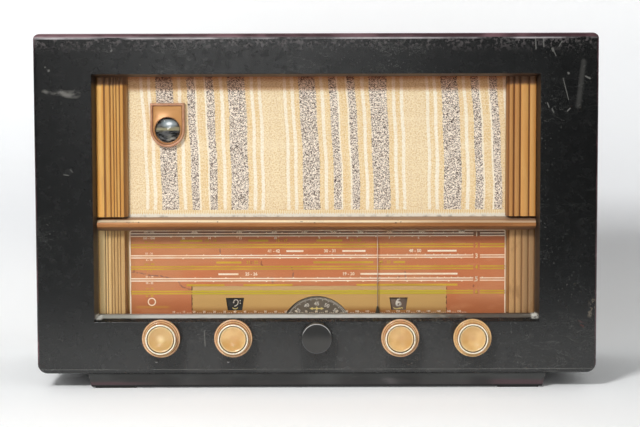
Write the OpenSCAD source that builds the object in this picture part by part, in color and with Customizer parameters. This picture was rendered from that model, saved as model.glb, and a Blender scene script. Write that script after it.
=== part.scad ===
// Table radio with valves: moulded cabinet, dial with pointer, four knobs and a fine-tuning knob.
// Millimetres. The front faces -Y and up is +Z. The origin is the middle of the footprint, on the ground.
// Depths named ..._depth are measured from the cabinet's front face towards the back.

/* [Cabinet] */
// Width of the cabinet
case_w = 600; // [580:2:660]
// Height of the cabinet above its plinth
case_h = 364; // [356:2:400]
// Depth of the cabinet without the knobs
case_d = 250; // [246:1:290]
// Thickness of the moulded walls
wall = 5; // [4:0.5:6]
// Rounding of the two upper corners, seen from the front
top_corner_r = 7; // [6:0.5:14]
// Rounding of the two lower corners, seen from the front
bottom_corner_r = 12.5; // [8:0.5:16]
// Rounding along the upper front edge
top_edge_r = 5.5; // [3:0.5:8]
// Rounding along the lower front edge
bottom_edge_r = 4; // [2:0.5:6]
// Rounding of the upright front edges
side_edge_r = 3; // [2:0.5:5]
// Height of the plinth between the pads and the cabinet
plinth_h = 14.5; // [12:0.5:20]
// Width of the plinth at its top
plinth_w = 493; // [470:1:520]
// How far each end of the plinth leans in towards the ground
plinth_taper = 4; // [2:0.5:6]
// How far the plinth stands back from the cabinet's front
plinth_setback = 4; // [2:0.5:8]
// Thickness of the plinth's walls
plinth_wall = 8; // [6:0.5:10]
// Thickness of the felt pads
pad_t = 1.5; // [1:0.5:3]

/* [Window] */
// Width of the window at the front face
window_w = 477; // [465:1:490]
// Height of the window's lower edge above the ground
window_bottom = 72; // [71:0.5:74]
// Height of the cabinet's face above the window
top_band = 43; // [38:1:50]
// Bevel of the sides and top
bevel = 3; // [2:0.5:4]
// Bevel of the sill
sill_bevel = 6; // [5:0.5:7]
// Rounding of the window's front edge
window_edge_r = 0.8; // [0.4:0.1:1.2]
// Depth of the bevelled reveal
reveal_depth = 13; // [10:0.5:14]
// Depth of the window's moulded return
return_depth = 23; // [22.5:0.5:25]
// Width of the ribbed pilasters
pilaster_w = 31.5; // [28:0.5:34]
// Number of ribs on each upper pilaster
rib_count = 5; // [3:1:5]
// Distance between two ribs
rib_pitch = 3.7; // [3.4:0.1:4]
// Radius of a rib
rib_r = 1.6; // [1:0.1:1.7]
// Height of the underside of the cross bar
bar_bottom = 169; // [167:0.5:172]
// Height of the cross bar's section
bar_h = 14; // [12:0.5:18]
// Distance from the cross bar up to the upper pilasters
bar_gap = 1; // [0.5:0.5:2]

/* [Loudspeaker] */
// Thickness of the baffle board
baffle_t = 10; // [8:0.5:12]
// Thickness of the grille cloth
cloth_t = 0.8; // [0.6:0.1:1.2]
// How far the loudspeaker's rim reaches past the top and bottom of its opening
speaker_lap = 9.5; // [4.5:0.5:12.5]
// Depth of the basket from its rim to the magnet
basket_d = 44; // [38:1:50]
// Distance of the loudspeaker's centre above the middle of its opening
speaker_rise = 0.5; // [-1:0.5:2]
// Radius of the magnet
magnet_r = 34; // [28:1:38]
// Length of the magnet
magnet_l = 30; // [24:1:36]
// Travel of the cone each way
cone_travel = 1; // [0.5:0.5:1.5]

/* [Tuning eye] */
// Distance of the tuning eye from the middle, to the left
eye_x = 159.5; // [150:0.5:170]
// Distance of the tuning eye's centre below the window's lintel
eye_drop = 57; // [46:1:68]
// Radius of the tuning-eye valve's glass
eye_r = 13.4; // [12:0.1:14]
// Width of the shield-shaped escutcheon
shield_w = 37; // [34:0.5:42]
// Height of the straight part of the escutcheon
shield_straight = 27.5; // [24:0.5:32]
// Thickness of the escutcheon
shield_t = 4; // [3:0.5:5]
// Width of the escutcheon's raised rim
shield_rim = 2.8; // [2:0.1:3.4]

/* [Controls] */
// Height of all the control shafts
shaft_z = 56; // [55.5:0.1:56.5]
// Distance of the inner pair of knobs from the middle
inner_knob_x = 89; // [86:0.5:92]
// Distance of the outer pair of knobs from the middle
outer_knob_x = 166; // [162:0.5:170]
// Radius of the control shafts
shaft_r = 3; // [2.8:0.1:3.2]
// Radius of the hollow shafts that carry the levers
sleeve_r = 4.6; // [4.4:0.1:4.8]
// Radius of a large knob
knob_r = 20.5; // [18:0.5:22]
// How far the large knobs stand out of the cabinet
knob_out = 22; // [20:0.5:26]
// Radius of the centre knob
fine_knob_r = 16.2; // [14:0.1:18]
// How far the centre knob stands out of the cabinet
fine_knob_out = 17; // [15:0.5:20]
// Gap behind the knobs, where the levers swing
knob_gap = 3; // [2.8:0.1:4]
// Length of a lever from the shaft's axis to its tip
lever_l = 25; // [24:0.5:28]
// Width of a lever
lever_w = 3.2; // [2.6:0.1:4]
// Thickness of a lever
lever_t = 1.4; // [1:0.1:1.6]
// Lean of the resting levers from straight down, to the left
lever_lean = 13; // [5:1:17]
// Radius of the tone and wave-band discs
disc_r = 39.5; // [37:0.5:39.5]
// Radius of the fine-tuning disc
fine_disc_r = 39; // [37:0.5:39.5]
// Thickness of the indicator discs
disc_t = 1.5; // [1:0.1:1.6]

/* [Tuning drive] */
// Distance of the tuning capacitor from the middle, to the right
gang_x = 100; // [96:0.5:104]
// Radius at the bottom of the drive drum's groove
drum_r = 45; // [43:0.5:46]
// Radius of the spool on the tuning shaft that drives the drum
spool_r = 4; // [3.8:0.1:4.5]
// Radius of the spool on the tuning shaft that pulls the pointer
pointer_spool_r = 8.5; // [8:0.1:8.8]
// Radius at the bottom of the cord pulleys' grooves
pulley_r = 13; // [12.5:0.1:13.2]
// Distance of the cord pulleys from the middle
pulley_x = 215; // [211:0.5:218]
// Thickness of the dial cord
cord_t = 1; // [0.8:0.1:1.1]
// Place of the pointer at rest, to the right of the middle
pointer_x = 66; // [40:1:90]
// Turn of the tuning capacitor from its resting place to fully meshed, in degrees
mesh_angle = 50.4; // [40:0.1:60]
// Radius of the rotor vanes
vane_r = 22; // [20:0.5:23]
// Thickness of a vane
vane_t = 0.8; // [0.6:0.1:1]
// Distance between two vanes of one kind
vane_pitch = 3.2; // [3:0.1:3.4]
// Number of rotor vanes in each section
vane_count = 7; // [5:1:7]

/* [Chassis] */
// Height of the underside of the chassis deck
deck_z = 93.5; // [92:0.5:94]
// Thickness of the sheet steel
steel_t = 1.5; // [1:0.1:1.8]
// Width of the chassis
chassis_w = 470; // [450:1:490]
// Space between the chassis and the pressboard back
back_gap = 16.2; // [14.2:0.5:20.2]
// Radius of a signal valve
valve_r = 16; // [14:0.5:18]
// Radius of the output and rectifier valves
power_valve_r = 20; // [18:0.5:21]
// Thickness of the pressboard back
back_t = 3; // [2:0.5:4]
// Number of vent slots in a row
slot_count = 22; // [12:1:24]

/* [Hidden] */
$fn = 48;

// Gap between curved faces of pieces that move past each other
gap = 0.3;
// Radial clearance of a shaft in its bearing
running = 0.05;
// How far a cut runs past the surface that it leaves
over = 1;

face_y = knob_out - (case_d + knob_out) / 2;
case_z = pad_t + plinth_h;
case_top = case_z + case_h;
floor_top = case_z + wall;
window_top = case_top - top_band;
half_open = window_w / 2 - bevel;
sill_z = window_bottom + sill_bevel;
lintel_z = window_top - bevel;
eye_z = lintel_z - eye_drop;
knob_xs = [-outer_knob_x, -inner_knob_x, 0, inner_knob_x, outer_knob_x];

// Depths of the layers behind the window
glass_depth = reveal_depth + 5;
glass_t = 3;
glass_back = glass_depth + glass_t;
cloth_depth = return_depth;
baffle_depth = cloth_depth + cloth_t;
plate_depth = baffle_depth + baffle_t;
plate_t = 1;
plate_back = plate_depth + plate_t;
disc_depth = plate_back + 1.7;
drum_w = 3.6;
drum_depth = disc_depth + disc_t + 1.5;
apron_depth = drum_depth + drum_w + 1.2;
apron_back = apron_depth + steel_t;

// Back of the cabinet: the rebate that the pressboard sits in
rebate_depth = back_t + 2.5;
back_depth = case_d - rebate_depth;
rebate_w = 2;

// Posts that the baffle board and the back are screwed to
screw_r = 1.6;
post_r = 6;
baffle_post_x = half_open + wall + post_r + 1;
baffle_low_z = bar_bottom + bar_h + 12;
baffle_high_z = lintel_z + wall - 4;
baffle_half_w = baffle_post_x + post_r + 1;
baffle_bottom = bar_bottom + 4;
baffle_top = baffle_high_z + post_r + 1;
back_post_x = case_w / 2 - wall - post_r + 1;
back_post_zs = [floor_top + 20, (floor_top + case_top) / 2, case_top - wall - 20];
back_post_l = 26;

// The chassis's feet stand inside the plinth, on both sides of the floor's opening for the indicator discs
foot_gap = 14.5;
foot_x = plinth_w / 2 - plinth_taper - plinth_wall - foot_gap;
floor_open_x = foot_x - 25;
floor_open_front = disc_depth - 4;
floor_open_back = case_d - 40;
cover_lap = 12;
cover_t = 2;

// Chassis
deck_top = deck_z + steel_t;
rear_back = back_depth - back_gap;
rear_depth = rear_back - steel_t;
foot_w = 30;
foot_d = 12;
bearing_r = shaft_r + running;
sleeve_bore = shaft_r + running;
sleeve_bearing_r = sleeve_r + running;

// Controls behind the apron
control_l = 14;
shaft_end = apron_back + control_l - 3;
wafer_count = 3;
wafer_pitch = 9;
band_switch_end = apron_back + 3 + wafer_count * wafer_pitch;

// Aerial sockets and mains inlet at the back
socket_x = 150;
socket_z = 52;
strip_half_l = 32;
strip_half_h = 9;
socket_opening_margin = [10, 4];
gland_x = -185;
gland_z = 50;
gland_r = 7;

// Tuning drive
gang_z = deck_top + drum_r + 7;
gang_depth = apron_back + 11;
gang_end_t = 1.5;
gang_half_w = vane_r + 7;
rotor_r = 4;
hub_r = 6;
section_l = vane_count * vane_pitch + vane_t;
section_gap = 5;
section_starts = [
    gang_depth + gang_end_t + section_gap,
    gang_depth + gang_end_t + 2 * section_gap + section_l
];
gang_back = gang_depth + 2 * gang_end_t + 3 * section_gap + 2 * section_l;
pointer_cord_depth = return_depth + 5;
pulley_w = 3.6;
flange_h = 1.2;
pin_r = 2;
pulley_z = shaft_z - pointer_spool_r + 2 + pulley_r;
rail_r = 1.5;
rail_depth = plate_depth - 2.8;
rail_z = pulley_z + pulley_r - 4;
rail_half_l = pulley_x - pulley_r - 5;
plate_bottom = rail_z - 2;
plate_top = bar_bottom + bar_h;
speaker_z = (plate_top + lintel_z) / 2 + speaker_rise;
speaker_r = (lintel_z - plate_top) / 2 + speaker_lap;

// Valves and cans stand in one row along the back of the deck
deck_gap = 4;
valve_depth = rear_depth - power_valve_r - deck_gap;
signal_valve_xs = [-60, 30, 122];
power_valve_xs = [-185, -112];
signal_valve_h = 88;
power_valve_h = 104;
can_xs = [-15, 76];
can_w = 34;
can_h = 78;
socket_h = 3;

// Transformers as [width, depth, height], and the capacitor can that stands in line with the larger one
mains_transformer_x = -185;
mains_transformer_size = [84, 68, 72];
mains_transformer_depth = valve_depth - power_valve_r - deck_gap - mains_transformer_size[1] / 2;
output_transformer_x = -110;
output_transformer_size = [50, 42, 42];
output_transformer_depth = apron_back + 2 * deck_gap + output_transformer_size[1] / 2;
capacitor_x = -105;
capacitor_r = 17.5;
capacitor_h = 88;

// Coils on their board under the deck
coil_first_x = 118;
coil_pitch = 22;
coil_count = 4;
coil_board_depth = apron_back + 55;
coil_board_h = 46;
coil_board_t = 2;

// Shapes drawn from the front are extruded between two depths
module from_front(depth_0, depth_1) {
    translate([0, face_y + depth_1, 0]) rotate([90, 0, 0]) linear_extrude(depth_1 - depth_0) children();
}

// Shapes drawn from the side as [depth, height] are extruded between two places along X
module from_side(x_0, x_1) {
    translate([x_0, face_y, 0]) rotate([90, 0, 90]) linear_extrude(x_1 - x_0) children();
}

// Shapes drawn from above as [x, depth] are extruded between two heights
module from_above(z_0, z_1) {
    translate([0, face_y, z_0]) linear_extrude(z_1 - z_0) children();
}

// A round bar along Y between two depths
module rod(x, z, r, depth_0, depth_1) {
    translate([x, face_y + depth_0, z]) rotate([-90, 0, 0]) cylinder(r = r, h = depth_1 - depth_0);
}

// A turned shape whose profile is drawn as [radius, depth]
module turned_in(x, z) {
    translate([x, face_y, z]) rotate([-90, 0, 0]) rotate_extrude() children();
}

// A turned shape whose profile is drawn as [radius, distance out of the face]
module turned_out(x, z) {
    translate([x, face_y, z]) rotate([90, 0, 0]) rotate_extrude() children();
}

// A block between two corners given as [x, depth, z]
module block(low, high) {
    translate([low[0], face_y + low[1], low[2]]) cube(high - low);
}

// A rectangle between two corners with its own radius at each corner, from lower left round to upper left
module rounded(low, high, r) {
    polygon([
        [low[0] + r[0], low[1]], [high[0] - r[1], low[1]], [high[0], low[1] + r[1]],
        [high[0], high[1] - r[2]], [high[0] - r[2], high[1]], [low[0] + r[3], high[1]],
        [low[0], high[1] - r[3]], [low[0], low[1] + r[0]]
    ]);
    translate([low[0] + r[0], low[1] + r[0]]) circle(r[0]);
    translate([high[0] - r[1], low[1] + r[1]]) circle(r[1]);
    translate([high[0] - r[2], high[1] - r[2]]) circle(r[2]);
    translate([low[0] + r[3], high[1] - r[3]]) circle(r[3]);
}

// Points along an arc round a centre
function arc(c, r, from, to, n) = [for (i = [0 : n]) c + r * [cos(from + (to - from) * i / n),
                                                             sin(from + (to - from) * i / n)]];

// The cabinet's outside, rounded in the front view, the side view and the plan
module case_outside() {
    back_r = 1.5;
    intersection() {
        from_front(0, case_d) rounded([-case_w / 2, case_z], [case_w / 2, case_top],
            [bottom_corner_r, bottom_corner_r, top_corner_r, top_corner_r]);
        from_side(-case_w / 2, case_w / 2) rounded([0, case_z], [case_d, case_top],
            [bottom_edge_r, back_r, back_r, top_edge_r]);
        from_above(case_z, case_top) rounded([-case_w / 2, 0], [case_w / 2, case_d],
            [side_edge_r, side_edge_r, back_r, back_r]);
    }
}

// The inside of the cabinet, made wider by a rim where the back sits
module case_inside(depth_0, depth_1, rim) {
    w = case_w / 2 - wall + rim;
    low_r = bottom_corner_r - wall;
    from_front(depth_0, depth_1) rounded([-w, floor_top - rim], [w, case_top - wall + rim],
        [low_r, low_r, 1, 1]);
}

// One edge of the window's opening as [across, depth], outwards from the opening's middle: a rounded front
// edge, then a bevel that narrows the opening by a run at the reveal's depth, then straight
function window_edge(half, run) = let (
        slope = atan2(run, reveal_depth),
        c = [half + window_edge_r * tan(45 - slope / 2), window_edge_r]
    ) concat(
        [[c[0], -over]],
        arc(c, window_edge_r, -90, -180 + slope, 4),
        [[half - run, reveal_depth], [half - run, return_depth + over]]
    );

// The window's opening: bevelled to the reveal's depth, then straight
module window_cut() {
    middle = (window_bottom + window_top) / 2;
    side = window_edge(window_w / 2, bevel);
    high = window_edge(window_top - middle, bevel);
    low = window_edge(middle - window_bottom, sill_bevel);
    turned_round = [for (i = [len(side) - 1 : -1 : 0]) [-side[i][0], side[i][1]]];
    intersection() {
        from_above(case_z, case_top) polygon(concat(side, turned_round));
        from_side(-case_w / 2, case_w / 2) polygon(concat(
            [for (p = high) [p[1], middle + p[0]]],
            [for (i = [len(low) - 1 : -1 : 0]) [low[i][1], middle - low[i][0]]]
        ));
    }
}

module case() {
    color([0.13, 0.12, 0.12]) difference() {
        union() {
            difference() {
                case_outside();
                case_inside(wall, case_d + over, 0);
                case_inside(back_depth, case_d + over, rebate_w);
            }
            block([-half_open - wall, wall / 2, sill_z - wall],
                  [half_open + wall, return_depth, lintel_z + wall]);
            for (x = [-baffle_post_x, baffle_post_x], z = [baffle_low_z, baffle_high_z])
                rod(x, z, post_r, wall / 2, return_depth);
            for (x = [-back_post_x, back_post_x], z = back_post_zs)
                rod(x, z, post_r, back_depth - back_post_l, back_depth);
        }
        window_cut();
        for (x = knob_xs) rod(x, shaft_z, sleeve_r + 0.6, -over, wall + over);
        for (x = [-baffle_post_x, baffle_post_x], z = [baffle_low_z, baffle_high_z])
            rod(x, z, screw_r, wall + 1, return_depth + over);
        for (x = [-back_post_x, back_post_x], z = back_post_zs)
            rod(x, z, screw_r, back_depth - 18, back_depth + over);
        block([-floor_open_x, floor_open_front, case_z - over],
              [floor_open_x, floor_open_back, floor_top + over]);
        underside_screw_places() translate([0, 0, case_z - over]) cylinder(r = screw_r, h = wall + 2 * over);
    }
}

// Where the chassis is screwed to the cabinet's floor
module chassis_screw_places() {
    for (x = [-foot_x, foot_x], d = [apron_back + foot_d / 2, rear_depth - foot_d / 2])
        translate([x, face_y + d, 0]) children();
}

// Where the chassis and the bottom cover are screwed to the cabinet's floor
module underside_screw_places() {
    chassis_screw_places() children();
    for (x = [-1, 1], d = [floor_open_front + 12, floor_open_back - 12])
        translate([x * (floor_open_x + cover_lap / 2), face_y + d, 0]) children();
}

module plinth() {
    low_w = plinth_w / 2 - plinth_taper;
    color([0.15, 0.12, 0.12]) difference() {
        from_front(plinth_setback, case_d - plinth_setback) polygon([
            [-low_w, pad_t], [low_w, pad_t], [plinth_w / 2, case_z], [-plinth_w / 2, case_z]
        ]);
        block([-low_w + plinth_wall, plinth_setback + plinth_wall, pad_t - over],
              [low_w - plinth_wall, case_d - plinth_setback - plinth_wall, case_z + over]);
    }
}

module felt_pads() {
    pad = [44, plinth_wall - 1, pad_t];
    low_w = plinth_w / 2 - plinth_taper;
    front = plinth_setback + 0.5;
    color([0.1, 0.1, 0.1]) for (x = [-low_w + 4, low_w - 4 - pad[0]],
                                d = [front, case_d - front - pad[1]])
        block([x, d, 0], [x, d, 0] + pad);
}

module bottom_cover() {
    x = floor_open_x + cover_lap;
    color([0.45, 0.36, 0.24]) difference() {
        block([-x, floor_open_front - cover_lap, case_z - cover_t],
              [x, floor_open_back + cover_lap, case_z]);
        underside_screw_places() translate([0, 0, case_z - cover_t - over])
            cylinder(r = screw_r, h = cover_t + 2 * over);
    }
}

// A pan-head screw standing on the origin with its head down
module screw(head_r, head_h, shank_l) {
    difference() {
        cylinder(r = head_r, h = head_h);
        translate([-head_r, -0.4, -over]) cube([2 * head_r, 0.8, over + 0.7]);
    }
    translate([0, 0, head_h]) cylinder(r = screw_r, h = shank_l);
}

module underside_screws() {
    head_h = 2;
    color([0.6, 0.6, 0.58]) {
        chassis_screw_places()
            translate([0, 0, case_z - head_h]) screw(3.5, head_h, wall + steel_t + 2);
        for (x = [-1, 1], d = [floor_open_front + 12, floor_open_back - 12])
            translate([x * (floor_open_x + cover_lap / 2), face_y + d, case_z - cover_t - head_h])
                screw(3, head_h, cover_t + wall);
    }
}

// The pressboard back: vent slots in three rows, and openings for the sockets and the mains lead
module back_cover() {
    slot_w = 4;
    slot_l = 42;
    slot_pitch = (case_w - 120) / slot_count;
    w = case_w / 2 - wall + rebate_w - 0.5;
    low = floor_top - rebate_w + 0.5;
    high = case_top - wall + rebate_w - 0.5;
    slot_zs = [deck_top + 25, deck_top + 85, high - 75];
    opening_half_w = strip_half_l + socket_opening_margin[0];
    opening_half_h = strip_half_h + socket_opening_margin[1];
    color([0.42, 0.32, 0.2]) difference() {
        from_front(back_depth, back_depth + back_t) rounded([-w, low], [w, high],
            [bottom_corner_r - wall, bottom_corner_r - wall, 1, 1]);
        for (z = slot_zs, i = [0 : slot_count - 1]) {
            x = (i - (slot_count - 1) / 2) * slot_pitch;
            block([x - slot_w / 2, back_depth - over, z], [x + slot_w / 2, back_depth + back_t + over, z + slot_l]);
        }
        block([socket_x - opening_half_w, back_depth - over, socket_z - opening_half_h],
              [socket_x + opening_half_w, back_depth + back_t + over, socket_z + opening_half_h]);
        rod(gland_x, gland_z, gland_r, back_depth - over, back_depth + back_t + over);
        for (x = [-back_post_x, back_post_x], z = back_post_zs)
            rod(x, z, screw_r, back_depth - over, back_depth + back_t + over);
    }
}

module back_screws() {
    head_h = 2;
    color([0.6, 0.6, 0.58]) for (x = [-back_post_x, back_post_x], z = back_post_zs)
        translate([x, face_y + back_depth + back_t + head_h, z]) rotate([90, 0, 0]) screw(4, head_h, 14);
}

// A rubber grommet in the back, through which the mains lead would leave
module mains_gland() {
    bore_r = 3.6;
    lip = 2;
    color([0.08, 0.08, 0.08]) turned_in(gland_x, gland_z) polygon([
        [bore_r, back_depth - lip], [gland_r + lip, back_depth - lip], [gland_r + lip, back_depth],
        [gland_r, back_depth], [gland_r, back_depth + back_t], [gland_r + lip, back_depth + back_t],
        [gland_r + lip, back_depth + back_t + lip], [bore_r, back_depth + back_t + lip]
    ]);
}

// Plan of a ribbed pilaster: x runs inwards from its outer side, y forwards from its seat
module pilaster_plan(h, ribs) {
    flat_w = 5.5;
    bed = h - 2.2;
    union() {
        polygon([
            [0, 0], [pilaster_w, 0], [pilaster_w, h * 0.25], [pilaster_w - 4.5, bed],
            [flat_w + 1, bed], [flat_w, h], [1, h], [0, h - 1]
        ]);
        for (i = [0 : ribs - 1]) translate([flat_w + 4.6 + i * rib_pitch, bed]) circle(rib_r);
    }
}

// A pair of pilasters that stand on a seat at the given depth
module pilaster_pair(seat_depth, h, ribs, z_0, z_1) {
    for (side = [0, 1]) mirror([side, 0, 0])
        translate([-half_open + gap, face_y + seat_depth, z_0]) mirror([0, 1, 0])
            linear_extrude(z_1 - z_0) pilaster_plan(h, ribs);
}

module upper_pilasters() {
    color([0.74, 0.58, 0.33])
        pilaster_pair(cloth_depth, cloth_depth - reveal_depth + 1, rib_count,
                      bar_bottom + bar_h + bar_gap, lintel_z - 0.2);
}

module lower_pilasters() {
    color([0.66, 0.54, 0.36])
        pilaster_pair(plate_depth, plate_depth - glass_back, rib_count - 1, sill_z, bar_bottom - 0.5);
}

// The moulded bar between loudspeaker and dial: a sloping top over a round nose and a small step
module cross_bar() {
    nose_r = 3.5;
    nose = [reveal_depth - 2, bar_bottom + bar_h - 7];
    w = half_open - gap;
    color([0.5, 0.4, 0.27]) from_side(-w, w) {
        polygon([
            [glass_depth, bar_bottom], [cloth_depth, bar_bottom], [cloth_depth, bar_bottom + bar_h],
            [nose[0] + 4, bar_bottom + bar_h - 2.2], [nose[0], nose[1] + nose_r],
            [nose[0], nose[1] - nose_r], [nose[0] + 2, bar_bottom + 2.5], [nose[0] + 5, bar_bottom + 1]
        ]);
        translate(nose) circle(nose_r);
    }
}

module grille_cloth() {
    color([0.9, 0.82, 0.66]) difference() {
        block([-half_open - wall, cloth_depth, baffle_bottom],
              [half_open + wall, baffle_depth, lintel_z + wall]);
        rod(-eye_x, eye_z, eye_r + 0.6, cloth_depth - over, baffle_depth + over);
    }
}

module baffle_board() {
    hole_r = speaker_r - 9;
    color([0.5, 0.4, 0.28]) difference() {
        block([-baffle_half_w, baffle_depth, baffle_bottom], [baffle_half_w, plate_depth, baffle_top]);
        rod(0, speaker_z, hole_r, baffle_depth - over, plate_depth + over);
        rod(-eye_x, eye_z, eye_r + 0.6, baffle_depth - over, plate_depth + over);
        for (x = [-baffle_post_x, baffle_post_x], z = [baffle_low_z, baffle_high_z])
            rod(x, z, screw_r, baffle_depth - over, plate_depth + over);
        speaker_bolt_places() translate([0, 0, over]) mirror([0, 0, 1]) cylinder(r = screw_r, h = baffle_t - 1);
    }
}

// Screws that hold the baffle board and the cloth against the window's return
module baffle_screws() {
    head_h = 2;
    color([0.6, 0.6, 0.58]) for (x = [-baffle_post_x, baffle_post_x], z = [baffle_low_z, baffle_high_z]) {
        translate([x, face_y + plate_depth + head_h, z]) rotate([90, 0, 0])
            screw(3.6, head_h, baffle_t + 10);
    }
}

// Four places round the loudspeaker's rim, with +Z pointing backwards
module speaker_bolt_places() {
    for (a = [45 : 90 : 315])
        translate([(speaker_r - 4) * cos(a), face_y + plate_depth, speaker_z + (speaker_r - 4) * sin(a)])
            rotate([-90, 0, 0]) children();
}

module speaker_basket() {
    rim_t = 2;
    hole_r = speaker_r - 9;
    neck_r = magnet_r + 6;
    t = 1.6;
    throat_r = 15;
    color([0.35, 0.36, 0.35]) difference() {
        turned_in(0, speaker_z) translate([0, plate_depth]) polygon([
            [hole_r, 0], [speaker_r, 0], [speaker_r, rim_t], [hole_r + t, rim_t],
            [neck_r + t, basket_d], [throat_r, basket_d], [throat_r, basket_d - t], [neck_r, basket_d - t]
        ]);
        for (a = [0 : 60 : 300])
            translate([0, face_y + plate_depth + 10, speaker_z]) rotate([0, a, 0])
                translate([neck_r + 6, 0, -14]) cube([speaker_r, basket_d - 20, 28]);
        speaker_bolt_places() translate([0, 0, -over]) cylinder(r = screw_r, h = rim_t + 2 * over);
    }
}

module speaker_cone() {
    rim_r = speaker_r - 11.6;
    coil_r = 12.6;
    color([0.2, 0.19, 0.18]) turned_in(0, speaker_z) translate([0, plate_depth]) polygon([
        [0, basket_d - 15], [coil_r, basket_d - 13], [rim_r - 1.5, cone_travel + 0.2],
        [rim_r, cone_travel + 0.2], [coil_r + 0.8, basket_d - 10.6], [coil_r + 0.8, basket_d + 3],
        [coil_r, basket_d + 3], [coil_r, basket_d - 11.8], [0, basket_d - 14]
    ]);
}

module speaker_magnet() {
    pole_r = 12;
    gap_r = 14;
    plate = 5;
    color([0.5, 0.5, 0.5]) turned_in(0, speaker_z) translate([0, plate_depth + basket_d]) polygon([
        [0, 0], [pole_r, 0], [pole_r, magnet_l - plate], [magnet_r - plate, magnet_l - plate],
        [magnet_r - plate, plate], [gap_r, plate], [gap_r, 0], [magnet_r, 0], [magnet_r, magnet_l], [0, magnet_l]
    ]);
}

module speaker_bolts() {
    head_h = 2;
    color([0.6, 0.6, 0.58]) speaker_bolt_places()
        translate([0, 0, 2 + head_h]) mirror([0, 0, 1]) screw(3, head_h, baffle_t - 2);
}

// Outline of the shield-shaped escutcheon, drawn round the tuning eye, grown or shrunk by a margin
module shield(margin) {
    r = shield_w / 2 + margin;
    circle(r);
    translate([-r, 0]) square([2 * r, shield_straight + margin]);
}

module eye_escutcheon() {
    color([0.7, 0.48, 0.3]) translate([-eye_x, 0, eye_z]) difference() {
        union() {
            from_front(cloth_depth - shield_t, cloth_depth) shield(0);
            from_front(cloth_depth - shield_t - 1.5, cloth_depth) difference() {
                shield(0);
                shield(-shield_rim);
            }
            rod(0, 0, eye_r + 2, cloth_depth - shield_t - 1, cloth_depth);
        }
        rod(0, 0, eye_r + 0.1, cloth_depth - shield_t - 2 * over, cloth_depth + over);
    }
}

module eye_tube() {
    front = cloth_depth - shield_t + 1;
    glass_l = 62;
    base_l = 18;
    dome = eye_r * 0.25;
    color([0.15, 0.22, 0.18]) turned_in(-eye_x, eye_z) translate([0, front]) polygon(concat(
        [for (i = [0 : 8]) [eye_r * sin(i * 11.25), dome * (1 - cos(i * 11.25))]],
        [[eye_r, glass_l], [eye_r - 1, glass_l + 1], [eye_r - 1, glass_l + base_l], [0, glass_l + base_l]]
    ));
}

// A spring ring round the tuning eye with a foot screwed to the baffle board
module eye_bracket() {
    t = 1.2;
    ring_l = 12;
    foot_l = 16;
    color([0.7, 0.68, 0.6]) difference() {
        union() {
            rod(-eye_x, eye_z, eye_r + 2, plate_depth, plate_depth + ring_l);
            block([-eye_x - 6, plate_depth, eye_z], [-eye_x + 6, plate_depth + t, eye_z + eye_r + foot_l]);
        }
        rod(-eye_x, eye_z, eye_r, plate_depth - over, plate_depth + ring_l + over);
        rod(-eye_x, eye_z + eye_r + foot_l - 5, screw_r, plate_depth - over, plate_depth + t + over);
    }
}

module dial_glass() {
    w = half_open - 0.3;
    color([0.8, 0.85, 0.85, 0.3])
        block([-w, glass_depth, sill_z], [w, glass_back, bar_bottom - 0.5]);
}

// A trapezoid window in the dial plate, its upper corners just inside the rim of an indicator disc
module indicator_window(x) {
    low_half = 7.9;
    high_half = 10;
    window_h = 13.8;
    high_z = shaft_z + sqrt(pow(disc_r - 0.5, 2) - pow(high_half, 2));
    polygon([
        [x - low_half, high_z - window_h], [x + low_half, high_z - window_h],
        [x + high_half, high_z], [x - high_half, high_z]
    ]);
}

module dial_plate() {
    w = half_open - gap;
    color([0.72, 0.52, 0.34]) from_front(plate_depth, plate_back) difference() {
        translate([-w, plate_bottom]) square([2 * w, plate_top - plate_bottom]);
        translate([0, shaft_z]) circle(fine_disc_r + 0.5);
        indicator_window(-inner_knob_x);
        indicator_window(inner_knob_x);
        translate([0, speaker_z]) circle(speaker_r + 1);
    }
}

// Two small lamps on brackets that stand on the chassis deck, behind the ends of the dial
module dial_lamps() {
    depth = apron_back + 5;
    lamp_z = deck_top + 26;
    color([0.85, 0.75, 0.5]) for (x = [-pulley_x, pulley_x]) {
        block([x - 5, depth, deck_top], [x + 5, depth + 8, deck_top + 1.2]);
        block([x - 5, depth, deck_top], [x + 5, depth + 1.2, lamp_z - 6]);
        translate([x, face_y + depth + 4, deck_top + 1.2]) cylinder(r = 3.9, h = lamp_z - deck_top - 1.2);
        translate([x, face_y + depth + 4, lamp_z + 2]) sphere(r = 5.5);
    }
}

// A thin rod along the lower edge of the dial plate with a lug at each end
module pointer_rail() {
    lug_w = 4;
    color([0.6, 0.6, 0.58]) {
        translate([-rail_half_l, face_y + rail_depth, rail_z]) rotate([0, 90, 0])
            cylinder(r = rail_r, h = 2 * rail_half_l);
        for (x = [-rail_half_l, rail_half_l - lug_w])
            block([x, rail_depth - rail_r - 0.5, rail_z - 2], [x + lug_w, plate_depth, rail_z + 2.5]);
    }
}

// The pointer: a carriage that slides on the rail and a needle in front of the dial plate
module pointer() {
    carriage_w = 12;
    front = pointer_cord_depth + cord_t / 2 + gap;
    back = plate_depth - 0.6;
    color([0.2, 0.16, 0.12]) difference() {
        union() {
            block([pointer_x - carriage_w / 2, front, rail_z - 2.6],
                  [pointer_x + carriage_w / 2, back, rail_z + rail_r + 3]);
            block([pointer_x - 2.5, front + 1, rail_z], [pointer_x + 2.5, back - 1, rail_z + 14]);
            block([pointer_x - 0.6, front + 1.5, rail_z], [pointer_x + 0.6, front + 2.3, bar_bottom - 4]);
        }
        translate([pointer_x - carriage_w, face_y + rail_depth, rail_z]) rotate([0, 90, 0])
            cylinder(r = rail_r + running, h = 2 * carriage_w);
    }
}

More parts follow.
